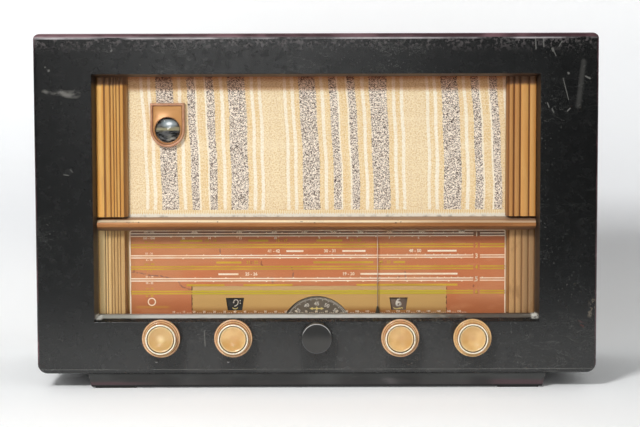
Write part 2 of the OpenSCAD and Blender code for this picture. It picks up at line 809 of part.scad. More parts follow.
// Profile of a grooved wheel as [radius, depth], with its groove's bottom radius and its bore
module wheel_profile(r, bore, w) {
    side = 0.8;
    polygon([
        [bore, 0], [r + flange_h, 0], [r + flange_h, side], [r, side], [r, w - side],
        [r + flange_h, w - side], [r + flange_h, w], [bore, w]
    ]);
}

module cord_pulley(x) {
    color([0.75, 0.62, 0.35]) turned_in(x, pulley_z) translate([0, pointer_cord_depth - pulley_w / 2])
        wheel_profile(pulley_r, pin_r + running, pulley_w);
}
module left_cord_pulley() { cord_pulley(-pulley_x); }

module right_cord_pulley() { cord_pulley(pulley_x); }

// An endless cord round a list of wheels, each given as [x, z, radius at the groove's bottom]
module cord_loop(wheels, depth) {
    from_front(depth - cord_t / 2, depth + cord_t / 2) difference() {
        hull() for (w = wheels) translate([w[0], w[1]]) circle(w[2] + gap + cord_t);
        hull() for (w = wheels) translate([w[0], w[1]]) circle(w[2] + gap);
    }
}

module dial_cord() {
    color([0.75, 0.7, 0.55]) {
        cord_loop([[-pulley_x, pulley_z, pulley_r], [pulley_x, pulley_z, pulley_r],
                   [outer_knob_x, shaft_z, pointer_spool_r]], pointer_cord_depth);
        cord_loop([[gang_x, gang_z, drum_r], [outer_knob_x, shaft_z, spool_r]], drum_depth + drum_w / 2);
    }
}

// Profile of a large knob as [radius, distance out]: skirt, ridged shoulder, bright ring and a dished cap
module knob_profile() {
    ring_r = knob_r - 5.2;
    ring_w = 1.8;
    dish_r = ring_r - 2.6;
    dish_sink = 1.5;
    top = knob_out;
    polygon(concat(
        [[shaft_r, knob_gap], [knob_r - 2.5, knob_gap], [knob_r - 0.6, knob_gap + 1.5]],
        arc([knob_r - 1.2, top - 10.2], 1.2, -20, 100, 6),
        [[knob_r - 1.9, top - 8.4]],
        arc([knob_r - 3.2, top - 7.6], 1.2, 10, 80, 4),
        [[ring_r + 0.6, top - 4.6], [ring_r + 0.3, top - 1]],
        arc([ring_r - ring_w / 2 + 0.3, top - ring_w / 2], ring_w / 2, 0, 180, 8),
        [[dish_r + 0.7, top - 2.6], [dish_r, top - 2.6], [dish_r - 0.2, top - 1.2]],
        [for (i = [1 : 6]) [dish_r * (1 - i / 6), top - 1.2 - dish_sink * (1 - pow(1 - i / 6, 2))]],
        [[0, knob_gap + 11], [shaft_r, knob_gap + 11]]
    ));
}

module large_knob(x) {
    color([0.86, 0.72, 0.5]) turned_out(x, shaft_z) knob_profile();
}

module volume_knob() { large_knob(-outer_knob_x); }

module tone_knob() { large_knob(-inner_knob_x); }

module band_knob() { large_knob(inner_knob_x); }

module tuning_knob() { large_knob(outer_knob_x); }

// The black centre knob: a flared skirt, a rounded bevel and a dished front
module fine_knob() {
    top = fine_knob_out;
    r = fine_knob_r;
    color([0.1, 0.1, 0.1]) turned_out(0, shaft_z) polygon(concat(
        [[shaft_r, knob_gap], [r - 1, knob_gap], [r, knob_gap + 1.2], [r - 0.4, top - 3]],
        arc([r - 2.4, top - 2], 2, 0, 90, 6),
        [[r - 4.4, top], [r - 5.2, top - 1]],
        [for (i = [1 : 5]) [(r - 5.2) * (1 - i / 5), top - 1 - 1.2 * (1 - pow(1 - i / 5, 2))]],
        [[0, knob_gap + 9], [shaft_r, knob_gap + 9]]
    ));
}

// A control shaft from inside its knob to its control behind the apron
module control_shaft(x, out, end_depth) {
    rod(x, shaft_z, shaft_r, -knob_gap - out, end_depth);
}

module volume_shaft() {
    color([0.7, 0.7, 0.68]) control_shaft(-outer_knob_x, 11, shaft_end);
}

module tone_shaft() {
    color([0.7, 0.7, 0.68]) control_shaft(-inner_knob_x, 11, shaft_end);
}

// A lever on its hollow shaft, at rest leaning left of straight down
module lever(x, end_depth) {
    out = (knob_gap + lever_t) / 2;
    difference() {
        union() {
            rod(x, shaft_z, sleeve_r, -out, end_depth);
            rod(x, shaft_z, sleeve_r + 2.4, -out, -out + lever_t);
            translate([x, 0, shaft_z]) from_front(-out, -out + lever_t) rotate(-90 - lever_lean) {
                translate([0, -lever_w / 2]) square([lever_l - lever_w / 2, lever_w]);
                translate([lever_l - lever_w / 2, 0]) circle(lever_w / 2);
            }
        }
        rod(x, shaft_z, sleeve_bore, -out - over, end_depth + over);
    }
}

module volume_lever() {
    color([0.08, 0.08, 0.08]) lever(-outer_knob_x, apron_back);
}

// The tone lever carries the indicator disc that shows through the dial plate's window
module tone_lever() {
    color([0.08, 0.08, 0.08]) {
        lever(-inner_knob_x, apron_back);
        indicator_disc(-inner_knob_x, disc_r, sleeve_r);
    }
}

module indicator_disc(x, r, bore_r) {
    difference() {
        rod(x, shaft_z, r, disc_depth, disc_depth + disc_t);
        rod(x, shaft_z, bore_r, disc_depth - over, disc_depth + disc_t + over);
    }
}

module band_shaft() {
    color([0.7, 0.7, 0.68]) {
        control_shaft(inner_knob_x, 11, band_switch_end - 3);
        rod(inner_knob_x, shaft_z, disc_r, disc_depth, disc_depth + disc_t);
    }
}

module fine_shaft() {
    color([0.7, 0.7, 0.68]) {
        control_shaft(0, 9, shaft_end);
        rod(0, shaft_z, fine_disc_r, disc_depth, disc_depth + disc_t);
    }
}

// The tuning shaft with its two spools turned on it
module tuning_shaft() {
    color([0.7, 0.7, 0.68]) {
        control_shaft(outer_knob_x, 11, apron_back + 6);
        turned_in(outer_knob_x, shaft_z) translate([0, pointer_cord_depth - pulley_w / 2])
            wheel_profile(pointer_spool_r, shaft_r, pulley_w);
        turned_in(outer_knob_x, shaft_z) translate([0, drum_depth])
            wheel_profile(spool_r, shaft_r, drum_w);
    }
}

// The steel chassis: a deck between two aprons, feet, valve holes and the pins of the cord pulleys
module chassis() {
    w = chassis_w / 2;
    color([0.62, 0.63, 0.6]) {
        difference() {
            union() {
                block([-w, apron_depth, deck_z], [w, rear_back, deck_top]);
                block([-w, apron_depth, floor_top], [w, apron_back, deck_top]);
                block([-w, rear_depth, floor_top], [w, rear_back, deck_top]);
                for (x = [-foot_x, foot_x], d = [apron_back, rear_depth - foot_d])
                    block([x - foot_w / 2, d, floor_top], [x + foot_w / 2, d + foot_d, floor_top + steel_t]);
            }
            for (x = [-outer_knob_x, -inner_knob_x])
                rod(x, shaft_z, sleeve_bearing_r, apron_depth - over, apron_back + over);
            for (x = [0, inner_knob_x, outer_knob_x])
                rod(x, shaft_z, bearing_r, apron_depth - over, apron_back + over);
            for (x = signal_valve_xs) deck_hole(x, valve_r - 3);
            for (x = power_valve_xs) deck_hole(x, power_valve_r - 5);
            underside_screw_places() translate([0, 0, floor_top - over])
                cylinder(r = screw_r, h = steel_t + 2 * over);
        }
        for (x = [-pulley_x, pulley_x]) pulley_pin(x);
    }
}

module deck_hole(x, r) {
    translate([x, face_y + valve_depth, deck_z - over]) cylinder(r = r, h = steel_t + 2 * over);
}

// A shouldered pin that carries a cord pulley in front of the apron
module pulley_pin(x) {
    front = pointer_cord_depth - pulley_w / 2 - 0.2;
    back = pointer_cord_depth + pulley_w / 2 + 0.2;
    turned_in(x, pulley_z) polygon([
        [0, front - 1], [pin_r + 1.2, front - 1], [pin_r + 1.2, front], [pin_r, front], [pin_r, back],
        [pin_r + 1.5, back], [pin_r + 1.5, apron_depth], [0, apron_depth]
    ]);
}

// A carbon-track control behind the apron, with a blind bearing for its shaft and three tags
module track_control(x) {
    r = 13;
    color([0.32, 0.26, 0.2]) {
        turned_in(x, shaft_z) polygon([
            [bearing_r, apron_back], [r, apron_back], [r, apron_back + control_l - 1],
            [r - 1, apron_back + control_l], [0, apron_back + control_l],
            [0, shaft_end + gap], [bearing_r, shaft_end + gap]
        ]);
        for (dx = [-7, 0, 7]) block([x + dx - 1.5, apron_back + 3, shaft_z + r - 3],
                                    [x + dx + 1.5, apron_back + 4, shaft_z + r + 6]);
    }
}

module volume_control() { track_control(-outer_knob_x); }

module tone_control() { track_control(-inner_knob_x); }

// The wave-band switch: a front plate and wafers on two tie rods
module band_switch() {
    wafer_r = 19;
    wafer_t = 1.6;
    tie_z = 14;
    color([0.55, 0.42, 0.25]) difference() {
        union() {
            rod(inner_knob_x, shaft_z, wafer_r, apron_back, apron_back + 2);
            for (i = [1 : wafer_count])
                rod(inner_knob_x, shaft_z, wafer_r, band_switch_end - (i - 1) * wafer_pitch - wafer_t,
                    band_switch_end - (i - 1) * wafer_pitch);
            for (dz = [-tie_z, tie_z]) rod(inner_knob_x, shaft_z + dz, 1.6, apron_back, band_switch_end);
        }
        rod(inner_knob_x, shaft_z, bearing_r, apron_back - over, band_switch_end + over);
    }
}

// The small trimmer that the centre knob turns
module fine_trimmer() {
    half = 13;
    color([0.75, 0.7, 0.6]) difference() {
        block([-half, apron_back, shaft_z - half], [half, apron_back + control_l, shaft_z + half]);
        rod(0, shaft_z, bearing_r, apron_back - over, shaft_end + gap);
    }
}

// Coils on a board that hangs under the deck
module coil_unit() {
    margin = 12;
    former_l = 32;
    last_x = coil_first_x + (coil_count - 1) * coil_pitch;
    front = coil_board_depth + coil_board_t;
    color([0.6, 0.45, 0.25]) {
        block([coil_first_x - margin, coil_board_depth, deck_z - coil_board_h], [last_x + margin, front, deck_z]);
        for (x = [coil_first_x : coil_pitch : last_x]) {
            rod(x, deck_z - coil_board_h / 2, 5, front, front + former_l);
            rod(x, deck_z - coil_board_h / 2, 8, front + 6, front + former_l - 10);
        }
    }
}

// Frame of the tuning capacitor: a base on the deck and two end plates with the rotor's bearings
module gang_frame() {
    top = gang_z + vane_r + 4;
    color([0.66, 0.66, 0.62]) difference() {
        union() {
            block([gang_x - gang_half_w, gang_depth, deck_top], [gang_x + gang_half_w, gang_back, deck_top + 2]);
            for (d = [gang_depth, gang_back - gang_end_t])
                block([gang_x - gang_half_w, d, deck_top], [gang_x + gang_half_w, d + gang_end_t, top]);
        }
        rod(gang_x, gang_z, rotor_r + running, gang_depth - over, gang_back + over);
    }
}

// Fixed vanes: half rings held by a bar along their outer side, between the two end plates
module gang_stator() {
    bar_half = 13;
    outer = vane_r + 3;
    color([0.78, 0.76, 0.68]) {
        block([gang_x - outer - 2, gang_depth + gang_end_t, gang_z - bar_half],
              [gang_x - vane_r - 1.2, gang_back - gang_end_t, gang_z + bar_half]);
        for (start = section_starts, i = [0 : vane_count])
            translate([gang_x, 0, gang_z])
                from_front(start + i * vane_pitch, start + i * vane_pitch + vane_t) difference() {
                    circle(outer);
                    circle(hub_r + 1);
                    translate([-1, -outer - over]) square([outer + 2 * over, 2 * (outer + over)]);
                }
    }
}

// Moving vanes on their shaft, drawn as they stand when the pointer rests
module gang_rotor() {
    vane_gap = (vane_pitch - 2 * vane_t) / 2;
    color([0.82, 0.8, 0.72]) {
        rod(gang_x, gang_z, rotor_r, drum_depth - 0.8, gang_back + 3);
        for (start = section_starts) {
            rod(gang_x, gang_z, hub_r, start, start + section_l);
            for (i = [0 : vane_count - 1]) {
                d = start + i * vane_pitch + vane_t + vane_gap;
                translate([gang_x, 0, gang_z]) from_front(d, d + vane_t) rotate(180 + mesh_angle)
                    intersection() {
                        circle(vane_r);
                        translate([0, -vane_r]) square([vane_r, 2 * vane_r]);
                    }
            }
        }
    }
}

// The drum that the tuning shaft turns through the cord, with round holes in its web
module drive_drum() {
    web_t = 1.6;
    hole_r = 10;
    hub_l = drum_w + 4;
    color([0.7, 0.68, 0.6]) difference() {
        turned_in(gang_x, gang_z) translate([0, drum_depth]) {
            polygon([
                [drum_r - 5, 0], [drum_r + flange_h, 0], [drum_r + flange_h, 0.8], [drum_r, 0.8],
                [drum_r, drum_w - 0.8], [drum_r + flange_h, drum_w - 0.8], [drum_r + flange_h, drum_w],
                [drum_r - 5, drum_w]
            ]);
            translate([hub_r, (drum_w - web_t) / 2]) square([drum_r - hub_r - 4, web_t]);
            translate([rotor_r, 0]) square([hub_r + 1 - rotor_r, hub_l]);
        }
        for (a = [30 : 60 : 330])
            rod(gang_x + 25 * cos(a), gang_z + 25 * sin(a), hole_r, drum_depth - over, drum_depth + drum_w + over);
    }
}

// A transformer of a laminated core, a winding bulging out of it and two feet
module transformer(x, depth, size) {
    core_d = size[1] * 0.55;
    coil = [size[0] * 0.66, size[1], size[2] * 0.6];
    foot = [size[0] + 16, core_d * 0.7, 2];
    color([0.25, 0.24, 0.23])
        block([x - size[0] / 2, depth - core_d / 2, deck_top], [x + size[0] / 2, depth + core_d / 2, deck_top + size[2]]);
    color([0.6, 0.45, 0.22])
        translate([0, 0, deck_top + size[2] / 2]) intersection() {
            from_front(depth - coil[1] / 2, depth + coil[1] / 2)
                rounded([x - coil[0] / 2, -coil[2] / 2], [x + coil[0] / 2, coil[2] / 2], [4, 4, 4, 4]);
            from_side(x - coil[0] / 2, x + coil[0] / 2)
                rounded([depth - coil[1] / 2, -coil[2] / 2], [depth + coil[1] / 2, coil[2] / 2], [8, 8, 8, 8]);
        }
    color([0.5, 0.5, 0.48])
        block([x - foot[0] / 2, depth - foot[1] / 2, deck_top], [x + foot[0] / 2, depth + foot[1] / 2, deck_top + foot[2]]);
}

module mains_transformer() {
    transformer(mains_transformer_x, mains_transformer_depth, mains_transformer_size);
}

module output_transformer() {
    transformer(output_transformer_x, output_transformer_depth, output_transformer_size);
}

// A tall aluminium can with a foot flange and a dished top
module smoothing_capacitor() {
    r = capacitor_r;
    h = capacitor_h;
    color([0.75, 0.75, 0.73]) translate([capacitor_x, face_y + mains_transformer_depth, deck_top])
        rotate_extrude() polygon([
            [0, 0], [r + 2, 0], [r + 2, 2], [r, 2], [r, h - 2], [r - 2, h], [r - 4, h - 1], [0, h - 1]
        ]);
}

module if_cans() {
    h = can_h;
    color([0.8, 0.8, 0.78]) for (x = can_xs) intersection() {
        from_front(valve_depth - can_w / 2, valve_depth + can_w / 2)
            rounded([x - can_w / 2, deck_top], [x + can_w / 2, deck_top + h], [1, 1, 5, 5]);
        from_side(x - can_w / 2, x + can_w / 2)
            rounded([valve_depth - can_w / 2, deck_top], [valve_depth + can_w / 2, deck_top + h], [1, 1, 5, 5]);
    }
}

module valve_sockets() {
    color([0.3, 0.2, 0.12]) {
        for (x = signal_valve_xs) valve_socket(x, valve_r - 3);
        for (x = power_valve_xs) valve_socket(x, power_valve_r - 5);
    }
}

module valve_socket(x, r) {
    translate([x, face_y + valve_depth, deck_top]) rotate_extrude() polygon([
        [0, -12], [r, -12], [r, 0], [r + 2.5, 0], [r + 2.5, socket_h], [0, socket_h]
    ]);
}

// A valve: a moulded base under a glass bulb with a domed top
module valve(x, r, h) {
    base_r = r - 2;
    base_h = 20;
    translate([x, face_y + valve_depth, deck_top + socket_h]) rotate_extrude() polygon(concat(
        [[0, 0], [base_r, 0], [base_r, base_h], [r, base_h + 4]],
        [for (i = [0 : 8]) [r * cos(i * 11.25), h - r * 0.8 + r * 0.8 * sin(i * 11.25)]]
    ));
}

module signal_valves() {
    color([0.6, 0.58, 0.52]) for (x = signal_valve_xs) valve(x, valve_r, signal_valve_h);
}

module power_valves() {
    color([0.45, 0.5, 0.5]) for (x = power_valve_xs) valve(x, power_valve_r, power_valve_h);
}

// The aerial and earth sockets on the rear apron, reached through the opening in the back
module socket_strip() {
    plug_r = 2;
    plug_pitch = 30;
    t = 9;
    color([0.3, 0.18, 0.1]) difference() {
        block([socket_x - strip_half_l, rear_back, socket_z - strip_half_h],
              [socket_x + strip_half_l, rear_back + t, socket_z + strip_half_h]);
        for (dx = [-plug_pitch / 2, plug_pitch / 2])
            rod(socket_x + dx, socket_z, plug_r, rear_back + 1, rear_back + t + over);
    }
}

case();
plinth();
felt_pads();
bottom_cover();
underside_screws();
back_cover();
back_screws();
upper_pilasters();
lower_pilasters();
cross_bar();
grille_cloth();
baffle_board();
baffle_screws();
speaker_basket();
speaker_cone();
speaker_magnet();
speaker_bolts();
eye_escutcheon();
eye_tube();
eye_bracket();
dial_glass();
dial_plate();
dial_lamps();
pointer_rail();
pointer();
dial_cord();
left_cord_pulley();
right_cord_pulley();
volume_knob();
volume_shaft();
volume_lever();
tone_knob();
tone_shaft();
tone_lever();
band_knob();
band_shaft();
tuning_knob();
tuning_shaft();
fine_knob();
fine_shaft();
chassis();
volume_control();
tone_control();
band_switch();
fine_trimmer();
coil_unit();
gang_frame();
gang_stator();
gang_rotor();
drive_drum();
mains_transformer();
output_transformer();
smoothing_capacitor();
if_cans();
valve_sockets();
signal_valves();
power_valves();
socket_strip();
mains_gland();
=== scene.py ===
import math
from functools import reduce

import bmesh
import bpy
from mathutils import Matrix, Vector


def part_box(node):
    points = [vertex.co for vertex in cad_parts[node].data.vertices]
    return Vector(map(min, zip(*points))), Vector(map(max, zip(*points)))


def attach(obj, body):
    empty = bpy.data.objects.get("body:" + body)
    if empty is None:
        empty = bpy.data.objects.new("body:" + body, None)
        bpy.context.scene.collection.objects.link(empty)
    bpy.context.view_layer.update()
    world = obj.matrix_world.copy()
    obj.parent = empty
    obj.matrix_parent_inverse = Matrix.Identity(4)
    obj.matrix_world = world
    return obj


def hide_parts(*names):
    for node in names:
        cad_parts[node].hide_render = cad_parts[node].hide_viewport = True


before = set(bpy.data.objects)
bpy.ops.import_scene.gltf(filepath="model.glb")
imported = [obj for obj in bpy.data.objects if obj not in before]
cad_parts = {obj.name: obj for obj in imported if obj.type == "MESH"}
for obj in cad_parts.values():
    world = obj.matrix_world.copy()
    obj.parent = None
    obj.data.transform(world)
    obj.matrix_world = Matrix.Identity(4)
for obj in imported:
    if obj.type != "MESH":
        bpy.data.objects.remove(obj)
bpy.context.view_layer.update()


# The camera stands a little above the cabinet's top, two metres in front of it, and looks slightly down, so
# that the cabinet's uprights draw together towards the ground as they do in the photograph.
mm = 0.001
face_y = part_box("case")[0][1]
camera_distance = 2.05
camera_height = 0.362
camera_side = 0.0038
camera_pitch = math.radians(4.84)
camera_roll = math.radians(-0.15)
camera_lens = 108.5

camera_data = bpy.data.cameras.new("camera")
camera_data.lens = camera_lens
camera_data.sensor_width = 36
camera = bpy.data.objects.new("camera", camera_data)
bpy.context.collection.objects.link(camera)
camera.location = (camera_side, face_y - camera_distance, camera_height)
camera.rotation_euler = (math.radians(90) - camera_pitch, 0, 0)
camera.rotation_euler.rotate_axis("Z", camera_roll)
bpy.context.scene.camera = camera
bpy.context.scene.view_settings.view_transform = "Standard"


# A pale sweep of painted card: a floor that curves up into a backdrop behind the cabinet, and clear when it
# is looked at from behind. For camera and glossy rays its upper part and the floor in front of the cabinet
# glow a little, as painted light. Shader sums are written with these classes: a Wire is a socket's value,
# Nodes is a tree of shader nodes, and a Finish is a material built from them.
def srgb(red, green, blue):
    """A colour given as it looks on a screen, from 0 to 255, as linear values"""
    def linear(level):
        level /= 255
        return level / 12.92 if level <= 0.04045 else ((level + 0.055) / 1.055) ** 2.4
    return (linear(red), linear(green), linear(blue), 1.0)


class Wire:
    """One value of a tree of nodes, which takes part in sums like a number"""

    def __init__(self, nodes, socket):
        self.nodes = nodes
        self.socket = socket

    def math(self, operation, other=None, swap=False):
        values = [other, self] if swap else [self, other]
        return self.nodes.node("Math", dict(enumerate(values)), operation=operation)

    def __add__(self, other):
        return self.math("ADD", other)

    def __sub__(self, other):
        return self.math("SUBTRACT", other)

    def __rsub__(self, other):
        return self.math("SUBTRACT", other, swap=True)

    def __mul__(self, other):
        return self.math("MULTIPLY", other)

    def __lt__(self, other):
        return self.math("LESS_THAN", other)

    def __abs__(self):
        return self.math("ABSOLUTE")

    def most(self, other):
        """The greater of two values"""
        return self.math("MAXIMUM", other)

    def away(self, other):
        """The distance that two sides of a right angle make"""
        return (self * self + other * other).math("SQRT")

    def step(self, low, high, start=0, end=1):
        """0 below low, 1 above high, smooth between"""
        ends = {0: self, 1: low, 2: high, 3: start, 4: end}
        return self.nodes.node("MapRange", ends, interpolation_type="SMOOTHSTEP")

    def fall(self, low, high):
        """1 below low, 0 above high, smooth between"""
        return self.step(low, high, 1, 0)

    def between(self, low, risen, falling, high):
        """0 below low and above high, 1 from risen to falling"""
        return self.step(low, risen) * self.fall(falling, high)


class Nodes:
    """A tree of shader nodes"""

    def __init__(self, tree):
        self.tree = tree

    def node(self, kind, inputs=None, output=0, **settings):
        """Any shader node: its settings first, then the values or wires of its inputs"""
        made = self.tree.nodes.new("ShaderNode" + kind)
        for key, value in settings.items():
            setattr(made, key, value)
        for key, value in (inputs or {}).items():
            if isinstance(value, Wire):
                self.tree.links.new(value.socket, made.inputs[key])
            elif value is not None:
                made.inputs[key].default_value = value
        return Wire(self, made.outputs[output])

    def rays(self):
        """Two values: 1 for rays from the camera, and 1 for rays from something glossy"""
        path = self.node("LightPath").socket.node
        return [Wire(self, path.outputs[name]) for name in ("Is Camera Ray", "Is Glossy Ray")]


class Finish(Nodes):
    """A material whose values come from nodes"""

    def __init__(self, name, **constants):
        self.material = bpy.data.materials.new(name)
        self.material.use_nodes = True
        super().__init__(self.material.node_tree)
        self.shader = self.tree.nodes["Principled BSDF"]
        for socket, value in constants.items():
            self.shader.inputs[socket.replace("_", " ")].default_value = value

    def place(self):
        """The point on the piece, in metres"""
        return self.node("TexCoord", output="Object")

    def parts(self, vector):
        """The three parts of a vector or a colour"""
        split = self.node("SeparateXYZ", {0: vector}).socket.node
        return [Wire(self, socket) for socket in split.outputs]

    def spot(self):
        """The point on the piece in millimetres: across, behind the cabinet's face, and above the ground"""
        across, depth, height = self.parts(self.place())
        return across * 1000, (depth - face_y) * 1000, height * 1000

    def value(self, name):
        """A value that the mesh holds at its points"""
        return self.node("Attribute", output=2, attribute_name=name)

    def stretch(self, size, vector):
        """A place multiplied along each axis"""
        return self.node("Mapping", {"Vector": vector, "Scale": size})

    def noise(self, scale, detail=3.0, size=None, vector=None, roughness=0.5, distortion=0.0):
        """A noise over the place, which size multiplies along each axis, for grain and streaks"""
        vector = vector or self.place()
        if size:
            vector = self.stretch(size, vector)
        return self.node("TexNoise", {"Vector": vector, "Scale": scale, "Detail": detail,
                                      "Roughness": roughness, "Distortion": distortion})

    def specks(self, scale, low, high, detail=2.0, size=None, vector=None):
        """1 where a noise is over high, 0 where it is under low"""
        return self.noise(scale, detail, size, vector).step(low, high)

    def scratch(self, start, end, width, softness=0.5, behind=0.0):
        """1 on a thin line between two points (x, z), 0 away from it; all in millimetres, behind the face"""
        low, high = [Vector((x * mm, face_y + behind * mm, z * mm)) for x, z in (start, end)]
        along = high - low
        slope = along / along.length_squared
        from_low = self.node("VectorMath", {0: self.place(), 1: low}, operation="SUBTRACT")
        share = self.node("VectorMath", {0: from_low, 1: slope}, 1, operation="DOT_PRODUCT")
        share = share.most(0).math("MINIMUM", 1)
        foot = self.node("VectorMath", {0: along, 3: share}, operation="SCALE")
        off = self.node("VectorMath", {0: from_low, 1: foot}, 1, operation="DISTANCE")
        return off.fall(width * mm * (1 - softness), width * mm)

    def scratches(self, lines, softness=0.5, behind=0.0):
        """Several scratches at once, given as (start, end, width)"""
        return reduce(Wire.most, [self.scratch(*line, softness, behind) for line in lines])

    def mix(self, first, second, share, blend="MIX"):
        """Two colours mixed by a share from 0 to 1; each is a wire, or red, green and blue from 0 to 255"""
        first, second = [tone if isinstance(tone, Wire) else srgb(*tone) for tone in (first, second)]
        return self.node("Mix", {0: share, 6: first, 7: second}, 2, data_type="RGBA", blend_type=blend)

    def set(self, **wires):
        """Links values to the shader's own sockets"""
        for socket, wire in wires.items():
            self.tree.links.new(wire.socket, self.shader.inputs[socket.replace("_", " ")])
        return self

    def base(self, first, second, share, blend="MIX"):
        """The finish's own colour, mixed of two"""
        self.colour = self.mix(first, second, share, blend)
        return self.set(Base_Color=self.colour)

    def coat(self, tone, share, blend="MIX"):
        """A further tone over the finish's own colour, as much of it as the share says"""
        return self.base(self.colour, tone, share, blend)

    def bump(self, height, strength, distance):
        normal = self.node("Bump", {"Height": height, "Strength": strength, "Distance": distance})
        return self.set(Normal=normal)


def dress(finish, *nodes):
    """Gives CAD nodes a finish in place of their plain one"""
    for node in nodes:
        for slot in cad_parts[node].material_slots:
            slot.material = finish.material


def new_piece(name, mesh, finish, body=None):
    """A piece of the object with the finish as its one material, riding on a body if one is given"""
    piece = bpy.data.objects.new(name, mesh)
    bpy.context.collection.objects.link(piece)
    mesh.materials.clear()
    mesh.materials.append(finish.material)
    if body:
        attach(piece, body)
    return piece


def arc(x, z, radius, start, end, steps=6):
    """Points of an arc round (x, z), from one direction to another in degrees"""
    turns = [math.radians(start + (end - start) * i / steps) for i in range(steps + 1)]
    return [(x + radius * math.cos(turn), z + radius * math.sin(turn)) for turn in turns]


sweep_half_width = 3.2
sweep_front = -0.6
sweep_back = 0.6
sweep_radius = 0.35
sweep_height = 2.6
sweep_line = [(sweep_front, 0.0), (sweep_back - sweep_radius, 0.0)]
sweep_line += arc(sweep_back - sweep_radius, sweep_radius, sweep_radius, -84, 0, 14)
sweep_line += [(sweep_back, sweep_height)]
card_mesh = bpy.data.meshes.new("sweep")
card_mesh.from_pydata(
    [(side * sweep_half_width, y, z) for y, z in sweep_line for side in (-1, 1)], [],
    [(2 * i, 2 * i + 1, 2 * i + 3, 2 * i + 2) for i in range(len(sweep_line) - 1)])
card_mesh.shade_smooth()

card_white = (254, 255, 255)
card = Finish("pale_card", Roughness=0.85, Specular_IOR_Level=0.1, Emission_Strength=1)
across, depth, height = card.parts(card.place())
card.base(card_white, (239, 241, 243), height.step(0.0, 0.15)).coat(card_white, height.step(0.3, 0.55))
# Painted light: the floor in front of the cabinet and the upper backdrop glow for camera and glossy rays.
near = depth.fall(-0.15, -0.03) * abs(across).fall(0.12, 0.42)
seen, mirrored = card.rays()
glow = (height.step(0.1, 0.34) * 0.17 + near * 0.11) * seen.most(mirrored)
card.set(Emission_Color=card.mix((0, 0, 0), (255, 255, 255), glow))
behind = card.node("NewGeometry", output="Backfacing")
front = Wire(card, card.shader.outputs[0])
open_back = card.node("MixShader", {0: behind, 1: front, 2: card.node("BsdfTransparent")})
card.tree.links.new(open_back.socket, card.tree.nodes["Material Output"].inputs["Surface"])
card_object = new_piece("sweep", card_mesh, card)


# Soft studio light: an even pale sky and two soft lamps, the stronger one high in front on the left. It
# throws the window's upper edge as a shadow on the cloth, and the cabinet's shadow to the right. Behind the
# camera the room is dark but for one bright window, which shows as a soft sheen on the upper part of the
# lacquer.
sky_strength = 0.34
room_strength = 0.035
sky = bpy.data.worlds.new("sky")
bpy.context.scene.world = sky
sky.use_nodes = True
background = sky.node_tree.nodes["Background"]
background.inputs["Color"].default_value = (1, 1, 1, 1)
sky_nodes = Nodes(sky.node_tree)
seen, mirrored = sky_nodes.rays()
strength = sky_nodes.node("MapRange", {"Value": mirrored, "To Min": sky_strength, "To Max": room_strength})
sky.node_tree.links.new(strength.most(seen).socket, background.inputs["Strength"])


def soft_lamp(name, place, target, size, power):
    data = bpy.data.lights.new(name, "AREA")
    data.shape = "RECTANGLE"
    data.size, data.size_y = size
    data.energy = power
    lamp = bpy.data.objects.new(name, data)
    bpy.context.collection.objects.link(lamp)
    lamp.location = place
    lamp.rotation_euler = (Vector(target) - Vector(place)).to_track_quat("-Z", "Y").to_euler()
    lamp.visible_camera = False


soft_lamp("key_lamp", (-1.15, -2.3, 1.95), (0, 0, 0.2), (0.55, 0.55), 65)
soft_lamp("fill_lamp", (1.7, -2.6, 1.5), (0, 0, 0.2), (1.5, 1.4), 6)
soft_lamp("room_window", (-0.27, -4.3, 0.45), (-0.27, 0, 0.45), (0.5, 0.4), 4)


# The cabinet: one thick phenolic moulding, burgundy right through, with satin black lacquer sprayed on its
# outside. The lacquer has worn off along the edges, dust lies in it, and the window's reveal is left brown.
# Light is painted on it too: a painted reflection of the floor lightens the lower face, with painted shadows
# below the knobs; painted shade darkens the face near its left and right edges above mid-height; and pale
# lines along the top and bottom edges are painted highlights.
cabinet = Finish("black_lacquer", Specular_IOR_Level=0.65)
across, depth, height = cabinet.spot()
side = abs(across)
deep_black = (8, 9, 9)
window_half, window_low, window_high = 238.6, 75.2, 337.1

cabinet.base((17, 18, 18), (28, 29, 29), cabinet.specks(9, 0.35, 0.7, 4))
cabinet.coat((112, 112, 108), cabinet.specks(420, 0.66, 0.74, 1) * cabinet.specks(14, 0.42, 0.62) * 0.5)
hairlines = abs(cabinet.noise(26, 5, (1, 1, 3.2), roughness=0.6, distortion=1.2) - 0.5) < 0.004
cabinet.coat((104, 104, 100), hairlines * cabinet.specks(11, 0.5, 0.56) * 0.55)

# Painted reflection of the floor: the lower face lighter, most in the middle, with painted shadows of the
# knobs cut out below each knob.
painted_floor_sheen = height.fall(20, 110) * (0.5 - side.step(90, 290) * 0.36)
for knob_shadow_x in (-160, -84, 3, 94, 170):
    knob_shadow = abs(across - knob_shadow_x).fall(12, 26) * height.fall(50, 66)
    painted_floor_sheen = painted_floor_sheen * (1 - knob_shadow * 0.85)
cabinet.coat((62, 62, 61), painted_floor_sheen)
# Painted shade: the face darker near its right and left edges, above mid-height.
cabinet.coat(deep_black, across.step(225, 275) * height.step(120, 200) * 0.7)
cabinet.coat(deep_black, across.fall(-250, -185) * height.step(190, 270) * 0.6)

front_edge = (depth + cabinet.noise(60) * 6).fall(6, 13)
under_edge = height.step(357, 373) * cabinet.specks(330, 0.5, 0.62, 5) * front_edge
cabinet.coat((104, 98, 98), under_edge * 0.52)
